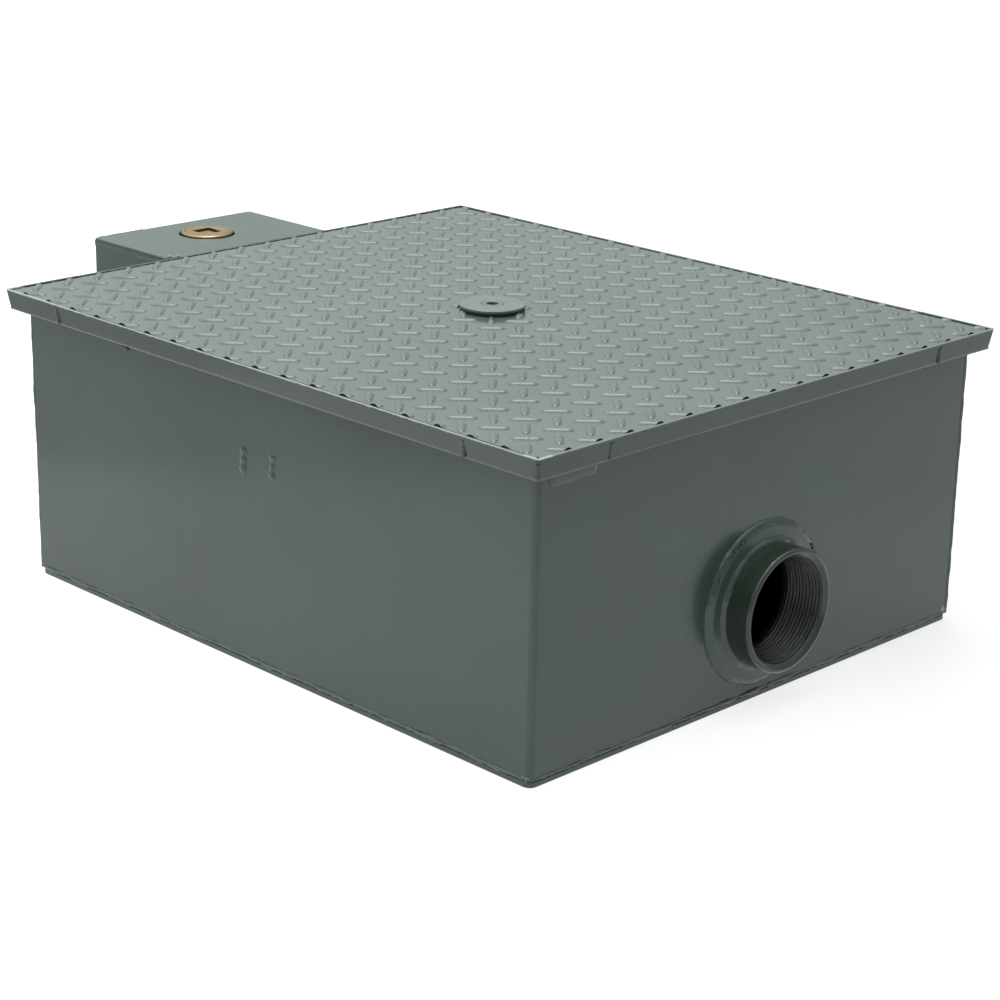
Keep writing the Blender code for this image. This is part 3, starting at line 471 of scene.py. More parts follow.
def soften(node, width, paint=None, segments=3, angle=32.0):
    """The node's own solid with its sharp edges rounded, as thick paint rounds them."""
    source = frame["nodes"][node]
    bm = bmesh.new()
    bm.from_mesh(source.data)
    bmesh.ops.remove_doubles(bm, verts=bm.verts, dist=0.000005)
    bmesh.ops.dissolve_limit(
        bm, angle_limit=math.radians(0.5), verts=bm.verts, edges=bm.edges
    )
    node_low, node_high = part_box(node)
    if node.startswith("rim_corner"):
        far = Vector([a if abs(a) > abs(b) else b for a, b in zip(node_low, node_high)])
        upright = [e for e in bm.edges if is_outer_upright(e, far)]
        bmesh.ops.bevel(
            bm, geom=upright, offset=CORNER_ROUND, segments=5, profile=0.5, affect="EDGES", clamp_overlap=True
        )
    limit = math.radians(angle)
    edges = [e for e in bm.edges if len(e.link_faces) == 2 and e.calc_face_angle(0.0) > limit]
    bmesh.ops.bevel(
        bm, geom=edges, offset=width, segments=segments, profile=0.5, affect="EDGES", clamp_overlap=True
    )
    for vert in bm.verts:
        for axis in range(3):
            vert.co[axis] = min(max(vert.co[axis], node_low[axis]), node_high[axis])
    smooth(bm)
    slot_name = SLOT_OF[node]
    item = piece("dressed_" + node, bm, paint or BY_SLOT[slot_name], BODY_OF[node], (node,))
    return keep_flats(item)


def bead(bm, path, radius, lump=0.35, sides=8, closed=False, seed=0.0, ripple=0.0, flatten=None):
    """Lumpy weld bead along a path of points: radius and line both wander a little."""
    path = [Vector(p) for p in path]
    rings = []
    total = len(path)
    for index, point in enumerate(path):
        before = path[index - 1] if index or closed else point
        after = path[(index + 1) % total] if index + 1 < total or closed else point
        along = (after - before).normalized()
        side = along.cross(Vector((0, 0, 1)))
        if side.length < 0.2:
            side = along.cross(Vector((1, 0, 0)))
        side.normalize()
        up = side.cross(along)
        wander = noise.noise(point * 90.0 + Vector((seed, 0, 0)))
        size = radius * (1.0 + lump * wander + ripple * math.sin(index * 1.9 + seed))
        if not closed and index in (0, total - 1):
            size *= 0.25
        ring = []
        for step in range(sides):
            angle = 2 * math.pi * step / sides
            offset = side * math.cos(angle) * size + up * math.sin(angle) * size
            if flatten is not None:
                offset -= flatten * (offset.dot(flatten) * 0.45)
            ring.append(bm.verts.new(point + offset))
        rings.append(ring)
    spans = list(zip(rings, rings[1:])) + ([(rings[-1], rings[0])] if closed else [])
    for first, second in spans:
        for step in range(sides):
            following = (step + 1) % sides
            bm.faces.new((first[step], first[following], second[following], second[step]))
    if not closed:
        bm.faces.new(rings[0][::-1])
        bm.faces.new(rings[-1])


def line(start, end, step=0.004, wander=0.0, seed=0.0):
    """Points from start to end that wander a little, like a weld laid by hand."""
    start, end = Vector(start), Vector(end)
    count = max(2, int((end - start).length / step))
    points = []
    for index in range(count + 1):
        t = index / count
        point = start.lerp(end, t)
        shift = noise.noise_vector(point * 60.0 + Vector((seed, seed, 0))) * wander
        points.append(point + shift)
    return points


def lug_centres():
    """Centre and direction of each lug: two lattices, turned 45 degrees either way."""
    row = Vector((math.cos(LUG_SKEW), math.sin(LUG_SKEW))) * LUG_PITCH[0]
    column = Vector((0, LUG_PITCH[1]))
    origin = Vector(LUG_ORIGIN)
    for i in range(-12, 13):
        for j in range(-11, 12):
            crossing = origin + row * i + column * j
            for centre, angle in ((crossing, math.pi / 4), (crossing - (row + column) / 2, -math.pi / 4)):
                if abs(centre.x) < COVER_HALF[0] + 0.010 and abs(centre.y) < COVER_HALF[1] + 0.010:
                    yield centre, angle


def lug_mesh(centre, angle):
    """One pressed lug: an oval with pointed ends, round on top."""
    bm = bmesh.new()
    place = Matrix.Translation((centre.x, centre.y, COVER_TOP)) @ Matrix.Rotation(angle, 4, "Z")
    segments = 24
    crown = bm.verts.new(place @ Vector((0, 0, LUG_HEIGHT)))
    loops = []
    for reach in (0.22, 0.46, 0.68, 0.86, 0.96, 1.0):
        loop = []
        for step in range(segments):
            turn = 2 * math.pi * step / segments
            u = math.copysign(math.sqrt(reach * abs(math.cos(turn))), math.cos(turn))
            v = reach * math.sin(turn)
            fullness = 2.0 + 1.2 * math.cos(turn) ** 2
            height = LUG_HEIGHT * (1 - reach ** fullness) - 0.00002
            loop.append(bm.verts.new(place @ Vector((u * LUG_LENGTH / 2, v * LUG_WIDTH / 2, height))))
        loops.append(loop)
    for step in range(segments):
        following = (step + 1) % segments
        bm.faces.new((crown, loops[0][step], loops[0][following]))
        for inner, outer in zip(loops, loops[1:]):
            bm.faces.new((inner[step], outer[step], outer[following], inner[following]))
    for face in bm.faces:
        face.smooth = True
    return bm


def cut_by(bm, point, normal):
    """Cuts away what lies beyond a plane and returns the cut's points, in order along the cut."""
    geometry = list(bm.verts) + list(bm.edges) + list(bm.faces)
    result = bmesh.ops.bisect_plane(bm, geom=geometry, plane_co=point, plane_no=normal, clear_outer=True)
    points = [v.co.copy() for v in result["geom_cut"] if isinstance(v, bmesh.types.BMVert)]
    across = Vector(normal).cross(Vector((0, 0, 1)))
    return sorted(points, key=lambda p: p.dot(across))


def add_into(target, bm, material_index=0):
    """Copies a mesh into another with one material index."""
    lookup = {}
    for vert in bm.verts:
        lookup[vert] = target.verts.new(vert.co)
    for face in bm.faces:
        made = target.faces.new([lookup[v] for v in face.verts])
        made.smooth = face.smooth
        made.material_index = material_index
    bm.free()


def tread():
    """The lugs, and where the plate's edges cut them, near-black sheets as painted shade in their hollows."""
    lugs = bmesh.new()
    hollows = bmesh.new()
    for centre, angle in lug_centres():
        bm = lug_mesh(centre, angle)
        from_centre = centre.length
        if from_centre < SEAL_RADIUS + LUG_LENGTH / 2:
            if from_centre < SEAL_RADIUS * 0.72:
                bm.free()
                continue
            under = [f for f in bm.faces if f.calc_center_median().xy.length < SEAL_RADIUS + 0.0004]
            bmesh.ops.delete(bm, geom=under, context="FACES")
        for axis, half in ((0, COVER_HALF[0]), (1, COVER_HALF[1])):
            for sign in (-1, 1):
                if sign * centre[axis] + LUG_LENGTH * 0.4 < half:
                    continue
                normal = Vector((0, 0, 0))
                normal[axis] = sign
                point = Vector((0, 0, 0))
                point[axis] = sign * (half - 0.0002)
                cut = [p for p in cut_by(bm, point, normal) if abs(p[1 - axis]) < COVER_HALF[1 - axis]]
                if len(cut) < 3:
                    continue
                peak = max(p.z for p in cut) - COVER_TOP
                if peak < 0.0004:
                    continue
                # Near-black sheets at the cut ends of lugs: painted shade in the cut-open hollows.
                top = [hollows.verts.new(p + normal * 0.00003 + Vector((0, 0, 0.00002))) for p in cut]
                feet = [Vector((p.x, p.y, COVER_TOP - HOLLOW_DEPTH)) for p in cut]
                low = [hollows.verts.new(foot + normal * 0.00021) for foot in feet]
                for index in range(len(cut) - 1):
                    hollows.faces.new((top[index], low[index], low[index + 1], top[index + 1]))
        if bm.faces:
            add_into(lugs, bm)
        else:
            bm.free()
    bmesh.ops.recalc_face_normals(hollows, faces=hollows.faces)
    return lugs, hollows


def cover():
    """The plate under the lugs, sheared and painted, with its hole for the bolt."""
    bm = bmesh.new()
    hx, hy = COVER_HALF
    inner_x, inner_y = hx - COVER_CORNER, hy - COVER_CORNER
    centres = ((inner_x, inner_y), (-inner_x, inner_y), (-inner_x, -inner_y), (inner_x, -inner_y))
    outline = []
    for index, (cx, cy) in enumerate(centres):
        for step in range(6):
            a = math.pi / 2 * (index + step / 5)
            outline.append((cx + COVER_CORNER * math.cos(a), cy + COVER_CORNER * math.sin(a)))
    levels = [
        (0.0003, COVER_LOW),
        (0.0, COVER_LOW + 0.0003),
        (0.0, COVER_TOP - 0.0004),
        (0.00012, COVER_TOP - 0.00012),
        (0.0004, COVER_TOP),
    ]
    rings = []
    for inset, z in levels:
        points = [(x - math.copysign(inset, x), y - math.copysign(inset, y), z) for x, y in outline]
        rings.append([bm.verts.new(point) for point in points])
    count = len(outline)
    for first, second in zip(rings, rings[1:]):
        for index in range(count):
            following = (index + 1) % count
            bm.faces.new((first[index], first[following], second[following], second[index]))
    holes = []
    for z in (COVER_LOW, COVER_TOP):
        ring = []
        for step in range(HOLE_SIDES):
            a = 2 * math.pi * step / HOLE_SIDES
            ring.append(bm.verts.new((BOLT_HOLE * math.cos(a), BOLT_HOLE * math.sin(a), z)))
        holes.append(ring)
    for step in range(HOLE_SIDES):
        following = (step + 1) % HOLE_SIDES
        bm.faces.new((holes[0][following], holes[0][step], holes[1][step], holes[1][following]))
    for ring, inner in ((rings[-1], holes[1]), (rings[0], holes[0])):
        edges = [bm.edges.get((ring[i], ring[(i + 1) % count])) for i in range(count)]
        edges += [bm.edges.get((inner[i], inner[(i + 1) % HOLE_SIDES])) for i in range(HOLE_SIDES)]
        bmesh.ops.triangle_fill(bm, edges=edges, use_beauty=True)
    bmesh.ops.recalc_face_normals(bm, faces=bm.faces)
    smooth(bm, 50)
    lugs, hollows = tread()
    plate = keep_flats(piece("tread_plate", bm, COVER, "cover", ("cover_plate",)))
    pattern = piece("tread_lugs", lugs, COVER, "cover")
    # The lug hollows piece is painted shade.
    dark = piece("lug_hollows", hollows, HOLLOW_SHADE, "cover")
    return plate, pattern, dark


def coupling(name, x, side, nodes):
    """Half coupling with a rounded mouth and a tapering pipe thread cut in its bore."""
    bm = bmesh.new()
    rows = []
    segments = 144
    outer = []
    for step in range(7):
        a = math.pi / 2 * step / 6
        radius = COUPLING_RADIUS - MOUTH_ROUND + MOUTH_ROUND * math.sin(a)
        outer.append((radius, COUPLING_OUT - MOUTH_ROUND + MOUTH_ROUND * math.cos(a)))
    outer += [
        (COUPLING_RADIUS, 0.010),
        (COUPLING_RADIUS, -COUPLING_IN + 0.0005),
        (COUPLING_RADIUS - 0.0005, -COUPLING_IN),
    ]
    mouth = [
        (COUPLING_BORE + 0.0048, COUPLING_OUT),
        (COUPLING_BORE + 0.0041, COUPLING_OUT - 0.0003),
        (COUPLING_BORE + 0.0015, COUPLING_OUT - 0.0030),
    ]
    start, end = COUPLING_OUT - 0.0032, -COUPLING_IN + 0.001
    count = int((start - end) / THREAD_STEP)
    for step in range(segments):
        angle = 2 * math.pi * step / segments
        inner = []
        for index in range(count + 1):
            along = start + (end - start) * index / count
            turn = (start - along) / THREAD_PITCH - angle / (2 * math.pi) * side
            phase = turn - math.floor(turn)
            ridge = 1 - abs(2 * phase - 1)
            ridge = min(1.0, max(0.0, ridge * 1.35 - 0.18))
            fade = min(1.0, (start - along) / 0.0022) * min(1.0, max(0.0, (along - end) / 0.008))
            taper = THREAD_TAPER * (1 - (start - along) / (start - end))
            inner.append((COUPLING_BORE + taper - THREAD_DEPTH * ridge * fade, along))
        profile = inner[::-1] + mouth[::-1] + outer
        out = Vector((0, math.cos(angle), math.sin(angle)))
        row = []
        for radius, along in profile:
            row.append(bm.verts.new(Vector((x + side * along, 0, COUPLING_Z)) + out * radius))
        rows.append(row)
    size = len(rows[0])
    for step in range(segments):
        first, second = rows[step], rows[(step + 1) % segments]
        for index in range(size):
            following = (index + 1) % size
            face = bm.faces.new((first[index], second[index], second[following], first[following]))
            # Bore faces take the near-black thread material: painted shade in the bore over the threads' dark
            # steel.
            face.material_index = 1 if index < count else 0
    bmesh.ops.recalc_face_normals(bm, faces=bm.faces)
    smooth(bm, 45)
    return piece(name, bm, (COUPLING_PAINT, THREAD_DARK_AND_SHADE), "tank", nodes)


def collar(name, x, side, nodes, seed):
    """Collar plate with an uneven weld round its edge and another where the coupling goes in."""
    bm = bmesh.new()
    segments = 200
    rows = []
    for step in range(segments):
        angle = 2 * math.pi * step / segments
        spot = Vector((math.cos(angle), math.sin(angle), seed))
        lump = noise.noise(spot * 3.5) * 0.0009 + noise.noise(spot * 14.0) * 0.0006
        throat = noise.noise(spot * 5.0 + Vector((3, 1, 7))) * 0.0009 + noise.noise(spot * 21.0) * 0.0004
        root = COUPLING_RADIUS
        profile = [
            (root - 0.0008, 0.0003),
            (root - 0.0008, COLLAR_DEPTH + 0.0030 + throat),
            (root + 0.0004, COLLAR_DEPTH + 0.0030 + throat),
            (root + 0.0016 + throat * 0.4, COLLAR_DEPTH + 0.0024 + throat),
            (root + 0.0028 + throat * 0.6, COLLAR_DEPTH + 0.0012 + throat * 0.6),
            (root + 0.0036 + throat * 0.8, COLLAR_DEPTH + 0.0003),
            (root + 0.0042 + throat * 0.8, COLLAR_DEPTH),
            (COLLAR_RADIUS - 0.0014, COLLAR_DEPTH),
            (COLLAR_RADIUS - 0.0003, COLLAR_DEPTH - 0.0003),
            (COLLAR_RADIUS + 0.0002, COLLAR_DEPTH - 0.0011),
            (COLLAR_RADIUS + 0.0010 + lump * 0.5, COLLAR_DEPTH - 0.0015 + lump * 0.5),
            (COLLAR_RADIUS + 0.0024 + lump, COLLAR_DEPTH - 0.0020 + lump),
            (COLLAR_RADIUS + 0.0037 + lump, COLLAR_DEPTH - 0.0031 + lump * 0.5),
            (COLLAR_RADIUS + 0.0044 + lump, 0.0003),
        ]
        out = Vector((0, math.cos(angle), math.sin(angle)))
        base = Vector((x, 0, COUPLING_Z))
        row = []
        for radius, along in profile:
            row.append(bm.verts.new(base + Vector((side * along, 0, 0)) + out * radius))
        rows.append(row)
    size = len(rows[0])
    for step in range(segments):
        first, second = rows[step], rows[(step + 1) % segments]
        for index in range(size):
            following = (index + 1) % size
            bm.faces.new((first[index], second[index], second[following], first[following]))
    bmesh.ops.recalc_face_normals(bm, faces=bm.faces)
    smooth(bm, 60)
    return piece(name, bm, TANK, "tank", nodes)


def spatter(bm, spots, seed):
    """Beads of weld spatter: small uneven domes at (x, y, z, radius)."""
    for index, (x, y, z, radius) in enumerate(spots):
        ball = bmesh.new()
        bmesh.ops.create_icosphere(ball, subdivisions=2, radius=radius)
        for vert in ball.verts:
            lump = noise.noise(vert.co * (0.9 / radius) + Vector((seed, index * 3.7, 0)))
            vert.co = vert.co * (1 + 0.35 * lump) + Vector((x, y, z))
        for face in ball.faces:
            face.smooth = True
        add_into(bm, ball)


def wall_welds():
    """Seams of the folded sheets and the run round the floor plate."""
    bm = bmesh.new()
    hx, hy = HALF_LENGTH, HALF_WIDTH
    bend = WALL_BEND
    foot = 0.0066
    head = RIM_BOTTOM - 0.001
    runs = [
        ((hx - bend, -hy, foot), (-hx, -hy, foot)),
        ((hx, -hy + bend, foot), (hx, hy, foot)),
        ((hx, hy, foot), (-hx + bend, hy, foot)),
        ((-hx, hy - bend, foot), (-hx, BOX_HALF, foot)),
        ((-hx, -BOX_HALF, foot), (-hx, -hy, foot)),
    ]
    for index, (start, end) in enumerate(runs):
        path = line(start, end, 0.0026, 0.0009, index * 3.1)
        bead(bm, path, 0.0012, 0.70, 8, seed=index * 1.7, ripple=0.18)
    uprights = [
        (hx - 0.0008, hy - 0.0006),
        (-hx + 0.0006, -hy + 0.0008),
        (-hx - 0.0004, -BOX_HALF - 0.0002),
        (-hx - 0.0004, BOX_HALF + 0.0002),
    ]
    for index, (x, y) in enumerate(uprights):
        path = line((x, y, 0.007), (x, y, head), 0.0035, 0.0006, 0.2 + index * 2.6)
        bead(bm, path, 0.0011, 0.30, 8, seed=1.0 + index, ripple=0.08)
    smooth(bm, 80)
    return piece("tank_welds", bm, SEAM_PAINT, "tank")


def within_rim(bm):
    """Keeps weld metal inside the outline of the rim's lip."""
    hx, hy = HALF_LENGTH + RIM_OUT_TOP, HALF_WIDTH + RIM_OUT_TOP
    for vert in bm.verts:
        vert.co.x = min(max(vert.co.x, -hx), hx)
        vert.co.y = min(max(vert.co.y, -hy), hy)


def rim_welds():
    """Butt welds of the rim's lengths and corners, ground flush with the top of its lip."""
    bm = bmesh.new()
    drops = []
    low = RIM_BOTTOM + 0.0012
    high = RIM_TOP - 0.0016
    sink = 0.0014
    for sign_x in (-1, 1):
        for sign_y in (-1, 1):
            edge_x = sign_x * (HALF_LENGTH + RIM_OUT_TOP - sink)
            edge_y = sign_y * (HALF_WIDTH + RIM_OUT_TOP - sink)
            top = Vector((sign_x * SEAM_X, edge_y, high))
            bottom = Vector((top.x, top.y - sign_y * RIM_LEAN * 0.5, low))
            path = line(bottom, top, 0.0016, 0.0006, sign_x * 2.0 + sign_y)
            bead(bm, path, 0.0022, 0.45, 10, seed=top.x, ripple=0.12)
            drops.append((top.x, edge_y, RIM_TOP - 0.0008, 0.0013))
            top = Vector((edge_x, sign_y * SEAM_Y, high))
            bottom = Vector((top.x - sign_x * RIM_LEAN * 0.5, top.y, low))
            path = line(bottom, top, 0.0016, 0.0006, sign_x + sign_y * 2.0)
            bead(bm, path, 0.0023, 0.45, 10, seed=top.y, ripple=0.12)
            drops.append((edge_x, top.y, RIM_TOP - 0.0008, 0.0013))
            if (sign_x, sign_y) != (1, -1):
                continue
            top = Vector((edge_x - sign_x * 0.0012, edge_y - sign_y * 0.0012, high))
            lean = RIM_LEAN * 0.4
            bottom = Vector((top.x - sign_x * lean, top.y - sign_y * lean, RIM_TOP - 0.0125))
            path = line(bottom, top, 0.0014, 0.0004, sign_x * 3.0 + sign_y)
            bead(bm, path, 0.0021, 0.40, 10, seed=top.x + top.y, ripple=0.15)
    within_rim(bm)
    smooth(bm, 80)
    seams = piece("rim_seams", bm, WELD_PAINT, "tank")
    bm = bmesh.new()
    spatter(bm, drops, 11.0)
    within_rim(bm)
    smooth(bm, 80)
    return seams, piece("rim_seam_drops", bm, DROP_PAINT, "tank")


def rim_fillets():
    """Short fillets under the rim next to its corners, and lumps where the torch stopped."""
    bm = bmesh.new()
    z = RIM_BOTTOM - 0.0012
    for sign_x in (-1, 1):
        for sign_y in (-1, 1):
            start = Vector((sign_x * (HALF_LENGTH + 0.0006), sign_y * (HALF_WIDTH - 0.008), z))
            end = Vector((start.x, sign_y * (SEAM_Y - 0.006), z))
            bead(bm, line(start, end, 0.003, 0.0003, sign_x * 5.0), 0.0024, 0.30, 10, seed=sign_y)
            if (sign_x, sign_y) in ((1, -1), (-1, 1)):
                start.z = end.z = RIM_BOTTOM - 0.0065
                start.y = sign_y * (HALF_WIDTH - 0.012)
                end.y = sign_y * (SEAM_Y - 0.002)
                start.x = end.x = sign_x * (HALF_LENGTH + 0.0002)
                path = line(start, end, 0.004, 0.0006, sign_x * 7.0)
                bead(bm, path, 0.0058, 0.20, 14, seed=sign_y * 3, flatten=Vector((1.4, 0, 0)))
            start = Vector((sign_x * (SEAM_X - 0.020), sign_y * (HALF_WIDTH + 0.0004), z))
            end = Vector((sign_x * (SEAM_X + 0.030), start.y, z))
            bead(bm, line(start, end, 0.003, 0.0003, sign_y * 5.0), 0.0016, 0.40, 10, seed=sign_x)
    near = -HALF_WIDTH
    lumps = [
        (-0.1678, near, 0.2343, 0.0022),
        (-0.1630, near, 0.2362, 0.0015),
        (-0.1735, near, 0.2350, 0.0014),
    ]
    spatter(bm, lumps, 2.0)
    smooth(bm, 80)
    return piece("rim_fillet_welds", bm, FILLET_PAINT, "tank")


def bar_welds():
    """The hold-down bar's welds, showing through both long sides as two upright marks."""
    bm = bmesh.new()
    for sign_y in (-1, 1):
        for x, low, high in ((-0.0185, 0.1605, 0.188), (0.017, 0.1635, 0.189)):
            y = sign_y * (HALF_WIDTH - 0.0012)
            path = line((x - 0.0006, y, low), (x + 0.0006, y, high), 0.0022, 0.0006, x * 90)
            bead(bm, path, 0.0042, 0.60, 12, seed=x * 200, ripple=0.22, flatten=Vector((0, 1, 0)))
    smooth(bm, 80)
    return piece("bar_weld_marks", bm, TANK, "tank")


def box_welds():
    """Weld between rim and box top, the run along the top's far edge, and drops at the near end."""
    bm = bmesh.new()
    x = BOX_NEAR_X - 0.0002
    z = BOX_TOP - 0.0009
    path = line((x, -BOX_HALF + 0.002, z), (x, BOX_HALF - 0.001, z), 0.003, 0.0003, 6.0)
    bead(bm, path, 0.0018, 0.25, 8, seed=4.0)
    smooth(bm, 80)
    seam = piece("trap_box_seam", bm, WELD_PAINT, "tank")
    bm = bmesh.new()
    far = BOX_FAR_X + 0.0012
    edge = BOX_TOP - 0.0007
    path = line((far, -BOX_HALF + 0.003, edge), (far, -BOX_HALF * 0.38, edge), 0.003, 0.0003, 9.0)
    bead(bm, path, 0.0011, 0.25, 8, seed=5.0)
    groove = -BOX_HALF - 0.0001
    path = line((-0.372, groove, BOX_TOP - 0.0065), (-0.327, groove, BOX_TOP - 0.0040), 0.003, 0.0006, 3.0)
    bead(bm, path, 0.0010, 0.5, 8, seed=6.0)
    top = BOX_TOP - 0.0002
    drops = [
        (-0.3258, -0.0905, top, 0.0026),
        (-0.3236, -0.0880, top, 0.0016),
        (-0.3225, -0.0838, top, 0.0027),
        (-0.3212, -0.0800, top, 0.0018),
        (-0.3245, -0.0858, top, 0.0008),
        (-0.3200, -0.0760, top, 0.0008),
    ]
    smooth(bm, 80)
    weld = piece("trap_box_welds", bm, TANK, "tank")
    bm = bmesh.new()
    spatter(bm, drops, 5.0)
    smooth(bm, 80)
    return seam, weld, piece("trap_box_drops", bm, DROP_PAINT, "tank")


def corner_drops():
    """Chips and drops where the run along the foot turns the near corner."""
    bm = bmesh.new()
    spots = (
        (0.3010, -0.2552, 0.0080, 0.0011),
        (0.3024, -0.2543, 0.0078, 0.0008),
        (0.2985, -0.2556, 0.0083, 0.0009),
    )
    spatter(bm, spots, 21.0)
    smooth(bm, 80)
    return piece("corner_drops", bm, DROP_PAINT, "tank")


def box_fold():
    """Filled and ground joint between the trap box's sides and its top, and the plug's socket floor."""
    bm = bmesh.new()
    skin = 0.00015
    x0, x1 = BOX_FAR_X - skin, BOX_NEAR_X
    y1 = BOX_HALF + skin
    radius = 0.0030
    outline = [(x1, -y1)]
    for cx, cy, first in ((x0 + radius, -y1 + radius, 270), (x0 + radius, y1 - radius, 180)):
        for step in range(7):
            angle = math.radians(first - step * 15)
            outline.append((cx + radius * math.cos(angle), cy + radius * math.sin(angle)))
    outline.append((x1, y1))
    rows = [[bm.verts.new((x, y, z)) for x, y in outline] for z in (BOX_TOP - 0.0026, BOX_TOP - 0.0070)]
    for index in range(len(outline) - 1):
        bm.faces.new((rows[0][index], rows[1][index], rows[1][index + 1], rows[0][index + 1]))
    smooth(bm, 50)
    fold = piece("trap_box_fold", bm, TANK, "tank")
    bm = bmesh.new()
    top = corner("cleanout_plug", 1, 2)
    bmesh.ops.create_cube(bm, size=1.0)
    for vert in bm.verts:
        x, y, z = vert.co
        level = top - SOCKET_FLOOR_DEPTH + z * 0.0020
        vert.co = Vector((PLUG_X + x * SOCKET_FLOOR_SIDE, y * SOCKET_FLOOR_SIDE, level))
    return fold, piece("plug_socket_floor", bm, BRASS, "plug")


def collar_spatter():
    """Spatter and a chipped lump on the inlet collar, where the photograph shows them."""
    bm = bmesh.new()
    face = HALF_LENGTH + COLLAR_DEPTH
    drops = []
    spots = (
        (116, 0.0640, 0.0013), (119, 0.0648, 0.0016), (123, 0.0640, 0.0012), (127, 0.0652, 0.0014),
        (131, 0.0640, 0.0010), (134, 0.0650, 0.0011), (150, 0.0640, 0.0017), (30, 0.0650, 0.0018),
        (33, 0.0658, 0.0014), (25, 0.0655, 0.0016), (21, 0.0648, 0.0011),
    )
    for degrees, radius, size in spots:
        angle = math.radians(degrees)
        drops.append((face - 0.0006, radius * math.cos(angle), COUPLING_Z + radius * math.sin(angle), size))
    spatter(bm, drops, 8.0)
    smooth(bm, 80)
    return piece("collar_spatter", bm, WET_PAINT, "tank")


def camera_and_light():
    """The fitted camera, the paper floor, the lamp overhead and the room."""
    camera_data = bpy.data.cameras.new("camera")
    camera_data.lens = CAMERA_LENS
    camera_data.sensor_width = 36.0
    camera = bpy.data.objects.new("camera", camera_data)
    bpy.context.scene.collection.objects.link(camera)
    bearing, dip, roll = (math.radians(a) for a in (CAMERA_BEARING, CAMERA_DIP, CAMERA_ROLL))
    forward = Vector((-math.cos(dip) * math.sin(bearing), math.cos(dip) * math.cos(bearing), -math.sin(dip)))
    level = Vector((math.cos(bearing), math.sin(bearing), 0))
    up = level.cross(forward)
    right = level * math.cos(roll) + up * math.sin(roll)
    above = up * math.cos(roll) - level * math.sin(roll)
    turn = Matrix((right, above, -forward)).transposed().to_4x4()
    camera.matrix_world = Matrix.Translation(CAMERA_PLACE) @ turn
    camera_data.clip_start = 0.05
    camera_data.clip_end = 60.0
    bpy.context.scene.camera = camera

    floor_mesh = bpy.data.meshes.new("floor")
    size = FLOOR_HALF
    corners = [(-size, -size, 0), (size, -size, 0), (size, size, 0), (-size, size, 0)]
    floor_mesh.from_pydata(corners, [], [(0, 1, 2, 3)])
    floor = bpy.data.objects.new("floor", floor_mesh)
    floor.location.z = -0.0004
    floor_mesh.materials.append(paper())
    bpy.context.scene.collection.objects.link(floor)

    data = bpy.data.lights.new("overhead", "AREA")
    data.size = LAMP_SIZE
    data.energy = LAMP_POWER
    lamp = bpy.data.objects.new("overhead", data)
    lamp.location = LAMP_PLACE
    lamp.rotation_euler = (-Vector(LAMP_PLACE)).to_track_quat("-Z", "Y").to_euler()
    bpy.context.scene.collection.objects.link(lamp)
    room()
    bpy.context.scene.view_settings.view_transform = "Standard"


def paper():
    """White paper under the object, with a duller floor to both sides of it."""
    material, tree, shader = node_tree("floor_paper")
    at = coordinates(tree)
    across = add(tree, "ShaderNodeVectorMath", operation="DOT_PRODUCT")
    across.inputs[1].default_value = (0.7071, 0.7071, 0.0)
    tree.links.new(at, across.inputs[0])
    along = add(tree, "ShaderNodeVectorMath", operation="DOT_PRODUCT")
    along.inputs[1].default_value = (-0.7071, 0.7071, 0.0)
    tree.links.new(at, along.inputs[0])
    side = combine(tree, "ABSOLUTE", across.outputs["Value"], 0.0)
    flare = combine(tree, "MULTIPLY", combine(tree, "MAXIMUM", along.outputs["Value"], 0.0), 0.35)
    beyond = combine(tree, "SUBTRACT", side, flare)
    bright = remap(tree, across.outputs["Value"], -0.25, 0.35, *PAPER_GLOW)
    on_paper = remap(tree, beyond, PAPER_HALF - 0.03, PAPER_HALF + 0.03, 1.0, 0.0)
    extra = combine(tree, "MULTIPLY", combine(tree, "SUBTRACT", bright, FLOOR_GLOW), on_paper)
    glow = combine(tree, "ADD", extra, FLOOR_GLOW)
    shader.inputs["Base Color"].default_value = (0.20, 0.20, 0.20, 1)
    shader.inputs["Roughness"].default_value = 0.75
    shader.inputs["Specular IOR Level"].default_value = 0.1
    shader.inputs["Emission Color"].default_value = (1, 1, 1, 1)
    tree.links.new(glow, shader.inputs["Emission Strength"])
    return material


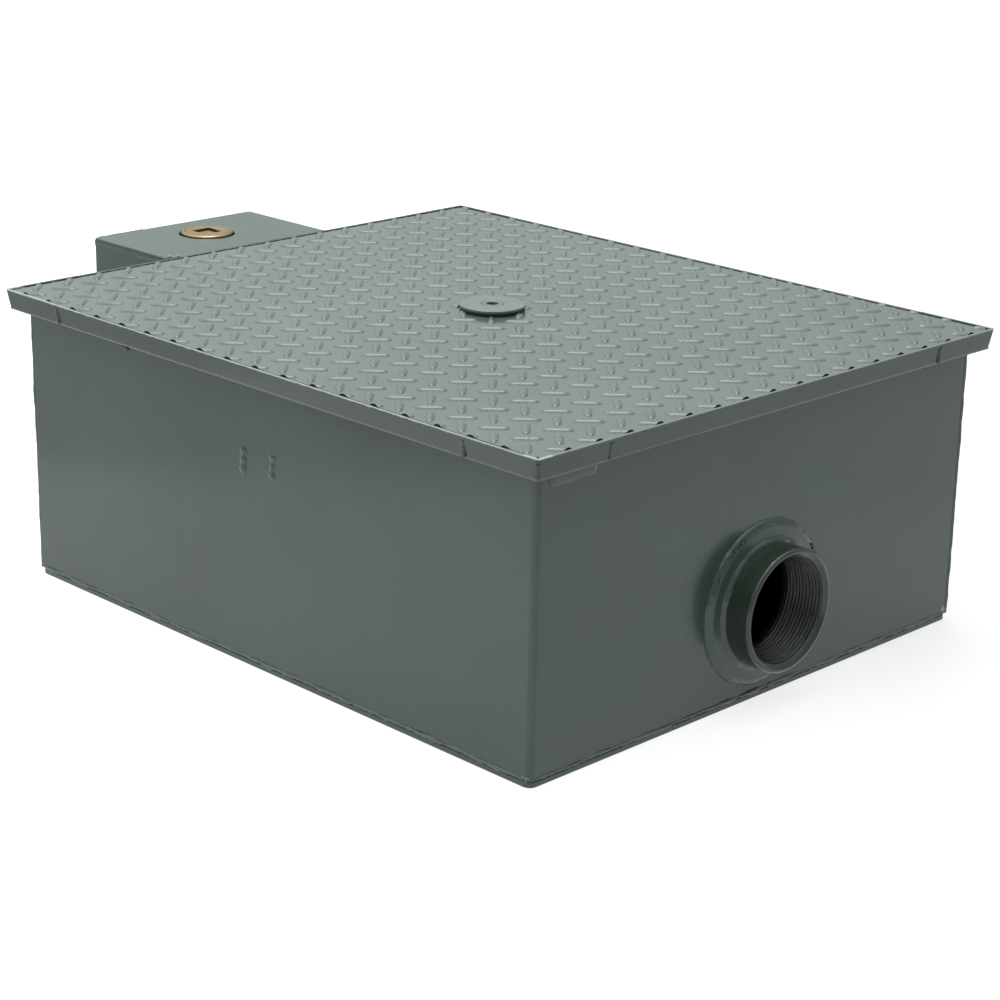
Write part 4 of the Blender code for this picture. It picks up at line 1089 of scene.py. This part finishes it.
def room():
    """Soft studio: a dull horizon that brightens to a wide glowing ceiling, duller behind the camera."""
    world = bpy.data.worlds.new("studio")
    bpy.context.scene.world = world
    world.use_nodes = True
    tree = world.node_tree
    background = tree.nodes["Background"]
    direction = add(tree, "ShaderNodeTexCoord").outputs["Generated"]
    parts = add(tree, "ShaderNodeSeparateXYZ")
    tree.links.new(direction, parts.inputs[0])
    ramp = add(tree, "ShaderNodeValToRGB")
    tree.links.new(parts.outputs["Z"], ramp.inputs["Fac"])
    low, top = ramp.color_ramp.elements
    low.position = 0.20
    low.color = (0.16, 0.16, 0.16, 1.0)
    top.position = 1.0
    top.color = (0.92, 0.92, 0.92, 1.0)
    for position, value in ((0.32, 0.23), (0.50, 0.26), (0.72, 0.52), (0.90, 0.80)):
        ramp.color_ramp.elements.new(position).color = (value, value, value, 1.0)
    ceiling = combine(tree, "MULTIPLY", ramp.outputs["Color"], 5.0)
    facing = add(tree, "ShaderNodeVectorMath", operation="DOT_PRODUCT")
    facing.inputs[1].default_value = (-0.7071, 0.7071, 0.0)
    tree.links.new(direction, facing.inputs[0])
    towards = remap(tree, facing.outputs["Value"], -0.6, 0.6, 0.65, 1.0)
    sideways = add(tree, "ShaderNodeVectorMath", operation="DOT_PRODUCT")
    sideways.inputs[1].default_value = (0.7071, 0.7071, 0.0)
    tree.links.new(direction, sideways.inputs[0])
    right_side = remap(tree, sideways.outputs["Value"], -0.5, 0.7, 1.10, 0.55)
    level = combine(tree, "MULTIPLY", combine(tree, "MULTIPLY", ceiling, towards), right_side)
    tree.links.new(level, background.inputs["Strength"])
    background.inputs["Color"].default_value = (0.93, 1.0, 0.94, 1)


camera_and_light()
cover()
coupling("inlet_coupling_threaded", HALF_LENGTH, 1, ("inlet_coupling",))
coupling("outlet_coupling_threaded", BOX_FAR_X, -1, ("outlet_coupling",))
collar("inlet_collar_welded", HALF_LENGTH, 1, ("inlet_collar",), 0.3)
collar("outlet_collar_welded", BOX_FAR_X, -1, ("outlet_collar",), 4.3)
wall_welds()
rim_welds()
rim_fillets()
bar_welds()
box_welds()
collar_spatter()
corner_drops()
box_fold()
# The disc's lighter paint carries painted light.
PAINT_OVERRIDES = {"cover_disc": DISC_LIGHTENED_PAINT}
SOFT = {
    "tank_floor": 0.0010,
    "wall_near_and_inlet": 0.0006,
    "wall_far_and_outlet": 0.0006,
    "rim_corner_near_inlet": 0.0007,
    "rim_corner_far_inlet": 0.0007,
    "rim_corner_far_outlet": 0.0007,
    "rim_corner_near_outlet": 0.0007,
    "rim_bar_inlet": 0.0007,
    "rim_bar_outlet": 0.0007,
    "rim_bar_near": 0.0007,
    "rim_bar_far": 0.0007,
    "trap_box_shell": 0.0006,
    "trap_box_top": 0.0018,
    "trap_box_floor": 0.0010,
    "cover_disc": 0.0004,
    "disc_seal": 0.0004,
    "cleanout_plug": 0.0004,
    "hold_down_bar": 0.0006,
    "hold_down_nut": 0.0005,
    "cover_bolt": 0.0003,
}
for node, width in SOFT.items():
    soften(node, width, PAINT_OVERRIDES.get(node, RIM_PAINT if node.startswith("rim_") else None))
for node, item in frame["nodes"].items():
    item.data.materials.clear()
    item.data.materials.append(BY_SLOT[SLOT_OF[node]])
